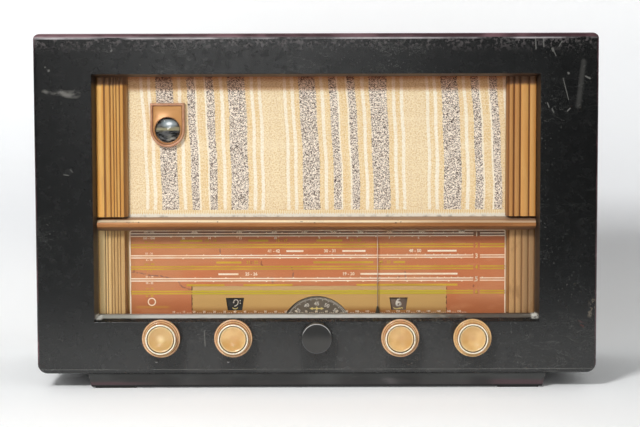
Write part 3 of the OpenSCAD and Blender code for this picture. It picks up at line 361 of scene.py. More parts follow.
# Painted highlight: a pale line where the face rounds over into the top.
top_edge_highlight = height.between(373.6, 374.4, 375.2, 375.9) * front_edge
along_edge = (1, 1, 0.01)
cabinet.coat((176, 170, 172), top_edge_highlight * cabinet.specks(22, 0.3, 0.7, 3, along_edge))
burgundy = cabinet.mix((64, 34, 40), (112, 78, 84), cabinet.specks(30, 0.4, 0.7, 4))
rubbed = front_edge.most(cabinet.specks(9, 0.5, 0.68, 5) * 0.3)
crest = height.step(375.4, 376.2) * rubbed
upright = side.step(297.6, 298.8) * cabinet.specks(24, 0.36, 0.5, 4, (1, 1, 0.3)) * rubbed
cabinet.coat(burgundy, crest.most(upright * 0.8))
# Painted highlight: a faint pale line along the lower front edge.
lower_line = height.between(20, 20.5, 20.9, 21.4) * front_edge
cabinet.coat((124, 124, 120), lower_line * cabinet.specks(16, 0.3, 0.55, 3, along_edge) * 0.35)

smear = cabinet.scratch((-288, 317), (-254, 316), 5.5, 0.8) * cabinet.specks(190, 0.42, 0.68, 5, (0.4, 1, 1))
cabinet.coat((128, 126, 120), smear * 0.75)
face_marks = [
    ((-283.6, 340.7), (-283.2, 341.4), 1.4), ((-287.4, 344.6), (-287, 344.8), 0.9),
    ((-217, 361.5), (-216.4, 362.4), 1.2), ((-186.5, 346.7), (-186.2, 346.9), 0.8),
    ((232.5, 375.7), (232.9, 362.6), 0.7), ((240.6, 374.6), (241.2, 365.3), 0.9),
    ((250.5, 363), (251.2, 361), 1.6), ((251.4, 361.6), (254.3, 355.4), 0.6),
    ((257.4, 365.6), (260.6, 370.9), 0.6), ((267.4, 337.4), (267.8, 336.8), 1.4),
    ((286, 333.7), (290.4, 331.4), 1.1), ((262, 332), (267.9, 309), 0.5),
    ((245.6, 305.8), (247.2, 301), 0.7), ((250.5, 299.3), (252.2, 295.5), 0.8),
    ((266.8, 297), (269.6, 299.8), 0.9), ((-262, 236), (-259.4, 233), 0.7),
    ((-120.6, 62.6), (-119.8, 46), 0.6), ((-269, 230.6), (-263.6, 229.8), 0.6),
]
marks = cabinet.scratches(face_marks)
cabinet.coat((132, 131, 126), marks * 0.55)
cabinet.coat((88, 87, 84), cabinet.scratch((283.7, 349.5), (278.3, 302.6), 4.5, 0.95) * 0.4)
scuffs = cabinet.scratch((295.5, 93), (293.5, 80), 5.5, 0.7) * cabinet.specks(260, 0.5, 0.56, 3)
cabinet.coat((128, 118, 104), scuffs * 0.5)
chips = cabinet.scratch((281, 70.5), (287, 67), 3.5, 0.7) * cabinet.specks(300, 0.52, 0.56)
cabinet.coat((88, 50, 46), chips * 0.6)

opening = depth.step(0.6, 1.2) * side.fall(window_half - 0.2, window_half + 0.2)
opening = opening * height.between(window_low - 0.2, window_low + 0.2, window_high - 0.2, window_high + 0.2)
reveal = cabinet.mix((58, 39, 27), (74, 50, 33), cabinet.noise(60, 4))
cabinet.coat(cabinet.mix(reveal, (34, 27, 22), side.step(234, 236) * 0.8), opening)
fade = across.step(60, 150)
sill_grey = cabinet.mix((146, 146, 138), (188, 188, 182), across.step(-206, -182))
sill_grey = cabinet.mix(sill_grey, (86, 82, 75), fade)
sill_grey = cabinet.mix(sill_grey, (160, 158, 148), cabinet.specks(60, 0.52, 0.72, 5, (1, 1, 2)) * 0.6)
# Painted light at the back of the sill, lifting the shade where it meets the film.
sill_grey = cabinet.mix(sill_grey, (244, 238, 226), depth.step(13, 19) * (1 - fade) * 0.4)
cabinet.coat(sill_grey, opening * height.fall(77.9, 78.1) * side.fall(235.6, 236.6))
corner = side.between(229.5, 232.5, 236.5, 238.4) * height.between(73.4, 75.4, 78.4, 80.4)
cabinet.coat((205, 203, 194), corner * cabinet.specks(240, 0.3, 0.55, 3))

haze = cabinet.specks(120, 0.3, 0.75, 4)
cabinet.set(Roughness=haze * 0.048 + crest * 0.15 + opening * 0.2 + 0.24)
cabinet.bump(cabinet.noise(700, 2) - marks * 0.4, 0.12, 0.0006)
dress(cabinet, "case")


# The plinth: a low moulded frame of the same stuff on which the cabinet stands. Its lacquer is rubbed thin
# towards the ground, so the burgundy shows through in patches.
plinth = Finish("plinth_lacquer")
across, depth, height = plinth.spot()
plinth.base((40, 40, 39), (62, 63, 62), plinth.specks(16, 0.35, 0.7, 4))
rubbed = height.fall(3, 12) * 0.6 + plinth.noise(14, 5, (1, 1, 2.5)) * 0.8
ends = abs(across + 8).step(150, 215) * 0.8 + 0.15
plinth.coat((74, 54, 58), rubbed.step(0.52, 0.85) * ends)
plinth.coat((98, 92, 92), plinth.specks(48, 0.6, 0.72, 5, (0.5, 1, 1.6)) * 0.5)
# Painted shadows of the knobs on the plinth's face.
for knob_shadow_x in (-158, -82, 97, 176):
    plinth.coat((26, 26, 26), abs(across - knob_shadow_x).fall(4, 20) * abs(height - 7).fall(2, 9) * 0.7)
# Painted contact shadow along the plinth's bottom edge.
plinth.coat((12, 11, 11), height.fall(2.8, 3.8))
plinth.set(Roughness=plinth.noise(60) * 0.2 + 0.36)
plinth.bump(plinth.noise(500, 2), 0.1, 0.0006)
dress(plinth, "plinth")

# The pads that the plinth stands on: dark felt, glued to its underside.
dress(Finish("dark_felt", Base_Color=srgb(30, 28, 28), Roughness=0.95), "felt_pads")


# The four pilasters: strips of ochre moulding with raised beads, cemented into the window's corners. The
# upper pair stands in front of the cloth, the lower pair behind the glass. Each is a section drawn along its
# length, and the lower pair has faded to tan. Their grooves are painted darker as shade; the upper right one
# is painted darker as shade and the upper left one lit; and the window's upper edge throws a painted shadow
# across the tops of the upper pair.
def skin(name, loops, attribute, values, ring=False, strip=False):
    """A mesh through loops of (across, behind the face, up) in millimetres, with one value for each point; a
    ring's last loop joins its first, and a strip has flat sides and closed ends"""
    count = len(loops[0])
    points = [(x * mm, face_y + depth * mm, z * mm) for loop in loops for x, depth, z in loop]
    rows = [(j, (j + 1) % len(loops)) for j in range(len(loops) if ring else len(loops) - 1)]
    faces = [(j * count + i, j * count + (i + 1) % count, k * count + (i + 1) % count, k * count + i)
             for j, k in rows for i in range(count)]
    if strip:
        faces += [tuple(range(count))[::-1], tuple(range(count, 2 * count))]
    mesh = bpy.data.meshes.new(name)
    mesh.from_pydata(points, [], faces)
    mesh.attributes.new(attribute, "FLOAT", "POINT").data.foreach_set("value", values)
    shape = bmesh.new()
    shape.from_mesh(mesh)
    bmesh.ops.remove_doubles(shape, verts=shape.verts, dist=1e-7)
    bmesh.ops.recalc_face_normals(shape, faces=shape.faces)
    shape.to_mesh(mesh)
    shape.free()
    if not strip:
        mesh.shade_smooth()
    return mesh


def pilaster_pair(level, finish, beads, widths, seat, front, low, high, crown_limit):
    """A left and a right strip between two heights, all in millimetres; beads are (from, to) from the strip's
    outer edge, and stand on a bed just under its front"""
    outer_edge = 235.2
    bed = front + 2.2
    for side, side_name in ((-1, "left"), (1, "right")):
        line = [(0, seat, 0.4), (0, front + 0.6, 0.1)]
        for start, end in beads[side]:
            middle, half = (start + end) / 2, (end - start) / 2
            rise = min(half * 0.8, crown_limit)
            for i in range(9):
                turn = math.radians(180 - 22.5 * i)
                bulge = math.sin(turn) ** 0.7 if 0 < i < 8 else 0
                line.append((middle + half * math.cos(turn), bed - rise * bulge, 1 - bulge))
        line += [(widths[side] - 1.2, bed + 3.5, 0.7), (widths[side], seat, 0.8)]
        loops = [[(side * (outer_edge - x), depth, z) for x, depth, shade in line] for z in (low, high)]
        name = side_name + "_" + level + "_pilaster"
        # The recess values paint the grooves between the beads darker, as shade.
        mesh = skin(name, loops, "recess", [shade for x, depth, shade in line] * 2, strip=True)
        piece = new_piece(name, mesh, finish, "cabinet")
        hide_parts(level + "_pilasters")


ochre = Finish("ochre_moulding", Specular_IOR_Level=0.6)
across, depth, height = ochre.spot()
grain = ochre.noise(40, 4, (9, 9, 0.5))
left_part = across.fall(-100, 100)
ochre.base((246, 178, 88), (252, 204, 118), grain.step(0.35, 0.68))
# Painted light: the left pilaster lit, the right one painted darker as shade.
ochre.coat((196, 140, 76), (1 - left_part) * 0.8)
ochre.coat((160, 104, 56), abs(across - 211).fall(4, 9) * 0.5)
ochre.coat((210, 146, 84), ochre.specks(34, 0.5, 0.72, 3, (4, 4, 0.6)) * 0.35)
dim = across.step(-240, -220) * left_part
ochre.coat((176, 124, 62), dim * 0.62)
# Painted shade in the grooves between the beads.
ochre.coat((112, 62, 22), ochre.value("recess").step(0.3, 0.95) * (0.92 - dim * 0.14))
# Painted shadow of the window's upper edge across the pilasters' tops.
ochre.coat((84, 50, 30), (height + grain * 3).step(325, 328.5) * 0.9)
ochre.set(Roughness=grain * 0.15 + 0.32)
ochre.bump(grain, 0.15, 0.0005)
upper_beads = {
    -1: [(0.4, 8.0), (9.6, 14.5), (15.5, 18.1), (18.9, 21.1), (21.8, 24.7), (25.5, 28.9)],
    1: [(0.1, 6.9), (8.1, 16.5), (17.7, 23.0), (24.3, 28.6)],
}
pilaster_pair("upper", ochre, upper_beads, widths={-1: 33.2, 1: 31.8}, seat=22.9, front=11.6,
              low=184, high=333.8, crown_limit=1.7)

tan = Finish("tan_moulding", Specular_IOR_Level=0.4)
across = tan.spot()[0]
grain = tan.noise(40, 4, (9, 9, 0.6))
# The right lower pilaster is darker, more so towards its outer edge.
darker_right = across.step(0, 200)
tan.base((238, 196, 132), (246, 208, 146), grain.step(0.35, 0.68))
tan.coat(tan.mix((200, 156, 104), (168, 132, 92), across.step(214, 229)), darker_right)
tan.coat((156, 116, 72), tan.specks(70, 0.56, 0.7, 4, (1, 1, 0.5)) * darker_right * 0.6)
tan.coat((255, 226, 166), across.fall(-229, -222) * 0.8)
tan.coat((176, 138, 88), across.step(-226, -220) * (1 - darker_right) * 0.62)
# Painted shade in the grooves between the beads.
tan.coat((128, 88, 50), tan.value("recess").step(0.4, 0.98) * 0.8)
tan.set(Roughness=grain * 0.15 + 0.4)
lower_beads = {
    -1: [(0.1, 6.6), (7.8, 9.2), (10.4, 13.6), (14.2, 16.6), (17.2, 20.2), (20.8, 23), (23.7, 28)],
    1: [(0.1, 6), (7, 12.8), (14.2, 19.8), (21.2, 27)],
}
pilaster_pair("lower", tan, lower_beads, widths={-1: 30, 1: 30}, seat=33.7, front=22.6,
              low=78, high=168.5, crown_limit=0.9)


# The bar between loudspeaker and dial: a bronze-coloured moulding with a sloping top over a round nose. Its
# top has gone grey with dust. A painted highlight runs along the nose, brightest on the left, and the nose's
# underside is painted darker as shade.
bronze = Finish("bronze_trim", Specular_IOR_Level=0.5, Metallic=0.25)
across, depth, height = bronze.spot()
slope = 0.0027
level = height + across * slope
streak = bronze.noise(24, 5, (0.35, 2, 4))
bronze.base((156, 98, 50), (182, 124, 70), streak.step(0.35, 0.7))
# Painted highlight along the nose, weaker to the right.
bronze.coat((255, 240, 208), level.between(177.4, 178.9, 179.6, 180.6) * (1 - across.step(50, 150) * 0.55))
# Painted shade on the nose's underside.
bronze.coat((122, 84, 56), height.fall(171, 174.5))
dusty = level.step(180, 181.2) * (streak.step(0.3, 0.62) * 0.35 + 0.6)
bronze.coat((164, 138, 114), dusty)
bronze.coat((90, 66, 48), bronze.specks(300, 0.66, 0.7) * bronze.specks(26, 0.5, 0.6) * 0.7)
bronze.set(Roughness=streak * 0.25 + dusty * 0.3 + 0.2)
dress(bronze, "cross_bar")


# The grille cloth: a striped tweed stretched over the baffle board, with a stitched hem along its lower edge.
# The stripes lean a little, and more so near the top.
cloth_half, cloth_bottom, cloth_top = 0.2405, 0.173, 0.339
cloth_depth = 0.02325
lean, lean_from, lean_height = 0.0054, 0.195, 0.139


def cloth_place(u, v):
    """A point of the cloth, from u and v between 0 and 1"""
    x = cloth_half * (2 * u - 1)
    z = cloth_bottom + (cloth_top - cloth_bottom) * v
    wave = 0.00016 * math.sin(x * 61 + 4 * z) + 0.00009 * math.sin(x * 173 - 9 * z + 1.3)
    return (x, face_y + cloth_depth + wave, z)


def cloth_pattern(x, z):
    """Where the point at x and z lies on the weave, which leans and drifts a little"""
    rise = min(max((z - lean_from) / lean_height, 0), 1)
    drift = 0.0007 * math.sin(x * 34 + z * 21) + 0.0004 * math.sin(z * 95 + x * 50)
    return (x + lean * rise ** 1.8 + drift, z)


def cloth_mesh(name, columns, rows):
    """A grid of quads with the weave as its UV map"""
    points = [cloth_place(i / columns, j / rows) for j in range(rows + 1) for i in range(columns + 1)]
    wide = columns + 1
    faces = [(j * wide + i, j * wide + i + 1, (j + 1) * wide + i + 1, (j + 1) * wide + i)
             for j in range(rows) for i in range(columns)]
    mesh = bpy.data.meshes.new(name)
    mesh.from_pydata(points, [], faces)
    layer = mesh.uv_layers.new(name="UVMap")
    for loop in mesh.loops:
        x, y, z = points[loop.vertex_index]
        layer.data[loop.index].uv = cloth_pattern(x, z)
    mesh.shade_smooth()
    return mesh


def stripes(value, soft, *ranges):
    """1 where the value lies in one of the ranges, 0 elsewhere, softened by the same unit"""
    bands = [value.between(low - soft, low + soft, high - soft, high + soft) for low, high in ranges]
    return reduce(Wire.__add__, bands)


cloth = Finish("striped_tweed", Specular_IOR_Level=0.15, Sheen_Weight=0.1)
weave = cloth.node("UVMap")
across, up = [part * 1000 for part in cloth.parts(weave)[:2]]
period = 152.5
ochre_middle = -43.5
fibres = cloth.noise(900, 3, (1, 0.35, 1), weave) - 0.5
slubs = cloth.specks(240, 0.36, 0.66, 3, (1, 0.06, 1), weave)
wefts = cloth.specks(420, 0.36, 0.66, 2, (0.05, 1, 1), weave)
from_ochre = (across - ochre_middle + 10.5 * period + fibres * 2.6).math("MODULO", period)
from_cream = abs(from_ochre - period / 2)
white = stripes(from_cream, 0.5, (11.7, 15.1), (19.9, 23.4), (52.2, 55.8), (70.2, 72.1))
tweed = stripes(from_cream, 0.3, (28.8, 47.2), (62, 70.3))
plain = stripes(from_cream, 1.2, (-1, 11))
ground = cloth.mix((232, 200, 148), (236, 212, 172), plain)
cloth.base(ground, (246, 226, 184), slubs * 0.38 + wefts * 0.28)
cloth.coat((250, 242, 224), white * (wefts * 0.12 + slubs * 0.12 + 0.76))
cloth.coat((204, 164, 108), cloth.specks(640, 0.44, 0.6, 1, (0.9, 1.1, 1), weave) * (0.5 - white * 0.22))
cloth.coat((255, 246, 222), cloth.specks(720, 0.5, 0.6, 0, None, weave) * 0.32)
cloth.coat((252, 238, 208), cloth.specks(60, 0.56, 0.7, 2, (0.03, 1, 1), weave) * 0.22)
cell_place = cloth.stretch((0.8, 1.15, 1), weave)
cells = cloth.node("TexVoronoi", {"Vector": cell_place, "Scale": 1560, "Randomness": 1.0}, "Color")
pick = cloth.parts(cells)[0]
yarns = cloth.mix((82, 69, 66), (184, 166, 150), pick.step(0.26, 0.32))
cloth.coat(cloth.mix(yarns, (250, 236, 218), pick.step(0.48, 0.56)), tweed)

stitches = (across * 3.22 + fibres * 2).math("SINE").step(-0.5, 0.6)
hem = cloth.mix((226, 192, 136), (250, 236, 202), stitches * 0.7 + wefts * 0.3)
hem = cloth.mix(hem, (240, 232, 214), (up + (across * 2.1).math("SINE") * 0.6).fall(186.2, 187))
grime = cloth.specks(160, 0.46, 0.74, 4, None, weave) * up.fall(182.5, 186.5)
cloth.coat(cloth.mix(hem, (176, 166, 152), grime), up.fall(190.3, 190.9))
# Painted shadow of the window's upper edge across the top of the cloth, deepest at the very top.
in_shadow = up.step(327, 333.5)
cloth.coat((228, 194, 174), up.step(316.5, 322.5) * 0.9, "MULTIPLY")
cloth.coat((214, 184, 172), in_shadow, "MULTIPLY")
cloth.coat((226, 214, 206), in_shadow * tweed, "MULTIPLY")
cloth.set(Roughness=fibres * 0.2 + 0.85)
cloth.bump(slubs * 0.5 + wefts * 0.4 + pick * tweed * 0.8, 0.35, 0.0004)

cloth_piece = new_piece("grille_cloth_sheet", cloth_mesh("grille_cloth_sheet", 160, 56), cloth, "cabinet")
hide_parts("grille_cloth")


# The escutcheon round the tuning eye: a bare shield of copper-coloured moulding, cemented over the cloth. A
# rounded rim runs round its flat face, with painted shade in the groove at its foot, and a thin ring stands
# round the lens, painted a little darker than the face as shade.
eye_x, eye_z = -159.5, 277
shield_half, shield_top = 18.5, 28.8
lens_margin = 3.2


def shield_loop(margin):
    """Points round the shield, a margin inside its outline, in millimetres from the lens's middle"""
    half, top = shield_half - margin, shield_top - margin
    right = [(half, top * i / 10) for i in range(10)]
    upper = [(half - half * i / 10, top) for i in range(20)]
    left = [(-half, top - top * i / 10) for i in range(10)]
    return arc(0, 0, half, 180, 357, 59) + right + upper + left


def lens_loop(radius):
    """As many points as round the shield, in the same order, on a circle round the lens"""
    return [(radius * x / math.hypot(x, z), radius * z / math.hypot(x, z))
            for x, z in shield_loop(lens_margin)]


rim = [(shield_loop(margin), depth, tone) for margin, depth, tone in (
    (0, 22.9, 0), (0, 19.1, 0), (0.2, 18.3, 0), (0.7, 17.75, 0), (1.4, 17.55, 0), (2.1, 17.75, 0),
    (2.6, 18.2, 0), (2.8, 18.9, 0.5), (3.05, 19.15, 0.5), (3.4, 19.15, 1))]
rim += [(lens_loop(radius), depth, tone) for radius, depth, tone in (
    (14.75, 19.15, 1), (14.5, 18.95, 2), (14.2, 18.85, 2), (13.9, 18.9, 2), (13.65, 19.3, 1.4),
    (13.55, 20.2, 0.5), (13.55, 22.9, 0))]
copper = Finish("copper_trim", Specular_IOR_Level=0.6, Metallic=0.2)
tone = copper.value("tone")
handled = copper.noise(90, 4)
copper.base((204, 154, 120), (184, 130, 98), handled.step(0.35, 0.7))
# Painted shade in the groove at the rim's foot and down the wall of the lens's hole.
copper.coat((98, 58, 36), tone.step(0.15, 0.45))
copper.coat(copper.mix((202, 146, 86), (186, 128, 72), handled.step(0.4, 0.75)), tone.step(0.6, 0.95))
# Painted shade: the ring round the lens a little darker than the face.
copper.coat((176, 122, 78), tone.step(1.2, 1.7))
copper.set(Roughness=copper.noise(200) * 0.2 + 0.3)
shield_loops = [[(eye_x + x, depth, eye_z + z) for x, z in loop] for loop, depth, tone in rim]
shield_tones = [tone for loop, depth, tone in rim for point in loop]
shield_mesh = skin("eye_shield", shield_loops, "tone", shield_tones, ring=True)
shield = new_piece("eye_shield", shield_mesh, copper, "cabinet")
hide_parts("eye_escutcheon")


# The tuning-eye valve: a glass tube on a bracket behind the baffle. Its domed dark end is the lens in the
# escutcheon, with a faint olive band across it and a painted highlight, a bright spot where the key lamp
# would shine in it.
lens = Finish("dark_lens", Roughness=0.05, Specular_IOR_Level=0.7, Coat_Weight=0.5, Coat_Roughness=0.02)
across, depth, height = lens.spot()
across, height = across - eye_x, height - eye_z
patches = lens.noise(260, 5, (0.6, 1, 1.6))
lens.base((34, 36, 36), (98, 98, 98), patches.step(0.4, 0.62))
band = abs(height + lens.noise(120, 4, (0.4, 1, 3)) * 6 - 4.2).fall(0.5, 3.6)
lens.coat((164, 156, 124), band * 0.85)
lens.coat((150, 148, 136), height.fall(-9, -3) * across.step(-4, 4) * patches.step(0.4, 0.6) * 0.8)
# Painted highlight: a soft pale patch with a bright spot in it.
from_shine = ((across - 1.6) * 0.548).away(height - 6.8)
lens.coat((176, 188, 192), from_shine.fall(1.5, 6) * 0.8)
lens.coat((250, 253, 255), from_shine.fall(0.8, 2.4))
dress(lens, "eye_tube")


# The four large knobs: turned from pale amber plastic, with a cream ring let into the front and a hollow
# face. The mesh is one profile of (radius, distance out of the cabinet), turned about the shaft.
knob_z = 56
shaft_x = {"volume": -166, "tone": -89, "fine": 0, "band": 89, "tuning": 166}
shaft_radius, knob_back = 3.0, 3.05


def turned(name, x, profile, steps=96):
    """A profile in millimetres, turned about the shaft at x"""
    loops = [[(a, -out, b) for a, b in arc(x, knob_z, radius, 0, 360, steps)[:-1]] for radius, out in profile]
    return skin(name, loops, "radius", [radius for radius, out in profile for i in range(steps)])


knob_profile = [(0, 14), (shaft_radius, 14), (shaft_radius, knob_back), (17.6, knob_back)]
knob_profile += arc(17.9, 4.0, 0.9, -90, -10, 4) + [(19.2, 10.5)] + arc(19.45, 12.4, 0.95, -35, 165, 9)
knob_profile += arc(17.6, 13.2, 0.6, 10, 165, 7) + [(16.75, 13.7), (16.5, 14.3), (16.35, 16.8)]
knob_profile += arc(15.3, 20.7, 0.95, 0, 180, 9) + [(14.3, 19.6), (13.95, 19.1), (13.75, 19.4)]
knob_profile += arc(13.2, 20.3, 0.5, 0, 150, 5) + [(12.2, 20.25)]
knob_profile += [(12 * (1 - i / 7), 20.2 - 1.5 * (1 - (1 - i / 7) ** 2)) for i in range(1, 7)] + [(0, 18.7)]

amber = Finish("amber_plastic", Roughness=0.22, Specular_IOR_Level=0.6, Coat_Weight=0.25, Coat_Roughness=0.08,
               Subsurface_Weight=0.12, Subsurface_Scale=0.004)
across = amber.spot()[0]
radius = amber.value("radius")
mottle = amber.noise(46, 4)
leftmost = across.fall(-130, -120)
disc = amber.mix((208, 160, 96), (230, 188, 126), mottle.step(0.36, 0.66))
disc = amber.mix(disc, (196, 158, 100), leftmost * 0.55)
# The leftmost knob's paler middle is a painted highlight in its hollow face.
hub = amber.mix((214, 166, 108), (240, 212, 160), leftmost)
amber.base(hub, disc, (radius + mottle * 6).step(3, 10))
# Rings round the face: the cream inlay, and besides it pale rings painted on the beads as highlights and dark
# rings painted in the grooves as shade.
for ring_colour, start, end in (
        ((236, 202, 148), 12.2, 12.6), ((84, 56, 30), 13.9, 14.05), ((253, 241, 218), 14.6, 14.75),
        ((172, 120, 72), 16.05, 16.2), ((244, 214, 172), 16.8, 17), ((214, 164, 108), 17.35, 17.6),
        ((150, 96, 54), 18.1, 18.2), ((238, 200, 158), 18.5, 18.65), ((204, 158, 114), 19.5, 20)):
    amber.coat(ring_colour, radius.step(start, end))
amber.coat((232, 192, 128), across.step(130, 136) * radius.step(16.4, 16.6) * 0.55)
amber.coat((150, 110, 70), amber.specks(500, 0.5, 0.66, 3) * radius.step(12, 13) * 0.25)

for control in ("volume", "tone", "band", "tuning"):
    name = control + "_knob"
    knob_mesh = turned(name, shaft_x[control], knob_profile)
    knob = new_piece(name + "_turned", knob_mesh, amber, name + "_body")
    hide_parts(name)


# The fine-tuning knob and the two levers: black plastic. The knob is turned too, with a flat face painted
# darker at the top and lighter at the bottom as shade, and a narrow rim with a painted highlight along its
# top and a fainter one below. The levers reach out from behind the two left knobs, with tips a little longer
# than in the plain model and a painted highlight on each tip.
small_profile = [(0, 12), (shaft_radius, 12), (shaft_radius, knob_back), (15.2, knob_back), (16.2, 4.25)]
small_profile += [(15.95, 15.6)] + arc(15.3, 16.25, 0.7, 0, 100) + [(13.5, 16.75), (7, 16.65), (0, 16.6)]
black_knob = Finish("black_knob", Roughness=0.4)
across, depth, height = black_knob.spot()
rise = height - knob_z
rim = black_knob.value("radius").step(15, 15.4) * depth.fall(-15.8, -15.2)
# Painted shade on the face, darker at the top and lighter at the bottom, and painted highlights on the rim:
# bright along the top, faint below.
black_knob.base((62, 61, 59), (30, 30, 29), (rise + black_knob.noise(120) * 4).step(-2, 9))
black_knob.coat((82, 82, 84), rim * rise.fall(-6, 2))
black_knob.coat((176, 176, 174), rim * rise.step(2, 9))
small_mesh = turned("fine_knob_turned", shaft_x["fine"], small_profile)
small_knob = new_piece("fine_knob_turned", small_mesh, black_knob, "fine_knob_body")
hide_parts("fine_knob")

ebony = Finish("black_plastic", Roughness=0.45)
across, depth, height = ebony.spot()
ebony.base((34, 33, 32), (56, 55, 53), ebony.specks(150, 0.35, 0.7, 4))
# Painted highlight on the front of each lever's tip.
ebony.coat((150, 147, 146), (height - knob_z).fall(-27.8, -25.8) * ebony.specks(400, 0.4, 0.55) * (depth < 0))
tip_from = 20 * mm
tip_reach = 3.6 * mm
lever_lean = math.radians(13)
for control in ("volume", "tone"):
    node = control + "_lever"
    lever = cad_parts[node].data.copy()
    for corner in lever.vertices:
        off_shaft = math.hypot(corner.co.x - shaft_x[control] * mm, corner.co.z - knob_z * mm)
        if corner.co.y < face_y and off_shaft > tip_from:
            corner.co.x -= tip_reach * math.sin(lever_lean)
            corner.co.z -= tip_reach * math.cos(lever_lean)
    lever_piece = new_piece(node + "_long", lever, ebony, node + "_body")
    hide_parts(node)


# The dial's backing: a tan card on the metal plate, browner towards the bottom, with painted shade along its
# lowest part. It shows where the coloured film in front of it has torn away.
backing = Finish("dial_backing", Roughness=0.7, Specular_IOR_Level=0.25)
height = backing.spot()[2]
stain = backing.noise(30, 4, (0.5, 1, 2))
backing.base((206, 170, 120), (206, 165, 102), height.fall(96, 106))
# Painted shade along the lowest part, next to the sill.
backing.coat((160, 102, 50), (height + stain * 3).fall(78, 87))
backing.coat((190, 148, 96), stain.step(0.45, 0.8) * 0.5)
dress(backing, "dial_plate")


# The dial's film: thin salmon-coloured celluloid behind the glass, with a dark band at its top. A wide piece
# over the three indicator windows has torn out, and cracks run into its left part.
film_depth = 33.6
film_left, film_right, film_bottom, film_top = -203.3, 205.6, 69.7, 168.0
film_corner = 3
tear_left, tear_right, tear_top = -135.3, 140.7, 106.6


def torn_edge(start, end, steps, reach, seed):
    """Points along a ragged line from one (x, z) to another, both ends left out"""
    points = []
    for i in range(1, steps):
        share = i / steps
        off = reach * (math.sin(share * 41 + seed) + 0.7 * math.sin(share * 97 + 2.3 * seed))
        upright = abs(end[1] - start[1]) > abs(end[0] - start[0])
        points.append((start[0] + (end[0] - start[0]) * share + off * upright,
                       start[1] + (end[1] - start[1]) * share + off * (not upright)))
    return points


def top_corners(radius):
    """Points round the film's two upper corners, from left to right"""
    z = film_top - radius
    return arc(film_left + radius, z, radius, 180, 90) + arc(film_right - radius, z, radius, 90, 0)


def lettering(word, x, depth, z, size, turn):
    """The mesh of a word in front of the dial, turned about the line of sight"""
    curve = bpy.data.curves.new("word", "FONT")
    curve.body = word
    curve.size = size * mm
    curve.offset = 0.035 * size * mm
    curve.align_x = "CENTER"
    curve.align_y = "CENTER"
    curve.resolution_u = 3
    holder = bpy.data.objects.new("word", curve)
    letters = bpy.data.meshes.new_from_object(holder)
    upright = Matrix.Rotation(math.radians(turn), 4, "Y") @ Matrix.Rotation(math.radians(90), 4, "X")
    letters.transform(Matrix.Translation((x * mm, face_y + depth * mm, z * mm)) @ upright)
    bpy.data.objects.remove(holder)
    bpy.data.curves.remove(curve)
    return letters


def printed(name, depth, finish, body, outlines, words=(), thickness=0.05):
    """A piece of flat marks: outlines of (x, z), and words as (text, x, z, height, turn), in millimetres"""
    shape = bmesh.new()
    for outline in outlines:
        shape.faces.new([shape.verts.new((x * mm, face_y + depth * mm, z * mm)) for x, z in outline])
    for word, x, z, size, turn in words:
        letters = lettering(word, x, depth, z, size, turn)
        shape.from_mesh(letters)
        bpy.data.meshes.remove(letters)
    raised = bmesh.ops.extrude_face_region(shape, geom=shape.faces[:], use_keep_orig=True)
    fronts = [part for part in raised["geom"] if isinstance(part, bmesh.types.BMVert)]
    bmesh.ops.translate(shape, verts=fronts, vec=(0, -thickness * mm, 0))
    bmesh.ops.recalc_face_normals(shape, faces=shape.faces)
    mesh = bpy.data.meshes.new(name)
    shape.to_mesh(mesh)
    shape.free()
    return new_piece(name, mesh, finish, body)


low_left, high_left = (tear_left, film_bottom), (tear_left, tear_top)
low_right, high_right = (tear_right, film_bottom), (tear_right, tear_top)
film_outline = [(film_left, film_bottom), low_left] + torn_edge(low_left, high_left, 44, 0.28, 1.0)
film_outline += [high_left] + torn_edge(high_left, high_right, 60, 0.16, 2.0)
film_outline += [high_right] + torn_edge(high_right, low_right, 44, 0.28, 3.0)
film_outline += [low_right, (film_right, film_bottom)] + top_corners(film_corner)[::-1]

film = Finish("salmon_film", Roughness=0.42, Specular_IOR_Level=0.35)
across, depth, height = film.spot()
clouds = film.noise(9, 5, (1, 1, 2.2), roughness=0.55)
film.base((204, 122, 78), (206, 138, 95), clouds.step(0.36, 0.68))
film.coat((184, 108, 66), height.fall(84, 100) * 0.8)
film.coat((216, 150, 104), film.specks(60, 0.5, 0.72, 4, (0.5, 1, 2)) * 0.4)
film.coat((176, 120, 68), across.fall(film_left, film_left + 10) * 0.5)
film.coat(film.mix((132, 94, 68), (146, 102, 76), clouds.step(0.4, 0.6)), height.step(160.4, 161.4))
film.coat((176, 128, 88), height.step(166.4, 167.2) * 0.7)
smear = abs(height - 82.8 - clouds * 2).fall(0.4, 2.2) * across.between(-199, -193, -164, -158)
film.coat((200, 146, 60), smear * 0.6)
crack_points = [
    [(-201.3, 122.4), (-191.5, 121.2), (-180.7, 118.5), (-169.8, 117.9), (-157.8, 115)],
    [(-150, 112), (-148.6, 108.4), (-145.8, 105.6), (-140, 104), (-135.6, 102.2)],
    [(-27, 127), (-25.4, 121), (-26.4, 114)], [(-105, 147), (-104.2, 139)], [(96, 122), (97, 113)],
]
crack_width = 1.3
cracks = film.scratches([(start, end, crack_width) for points in crack_points
                         for start, end in zip(points, points[1:])], 0.9, film_depth)
film.coat((118, 92, 86), cracks * film.specks(420, 0.35, 0.6) * 0.75)
tear = abs(across - tear_left).fall(0.3, 1.5) + abs(across - tear_right).fall(0.3, 1.5)
film.coat((92, 66, 44), tear * height.fall(106, 108) * film.specks(330, 0.4, 0.52, 1))
film.coat((124, 72, 58), film.specks(130, 0.7, 0.76, 1) * film.specks(20, 0.5, 0.6) * 0.7)
printed("dial_film", film_depth, film, "cabinet", [film_outline], thickness=0.1)


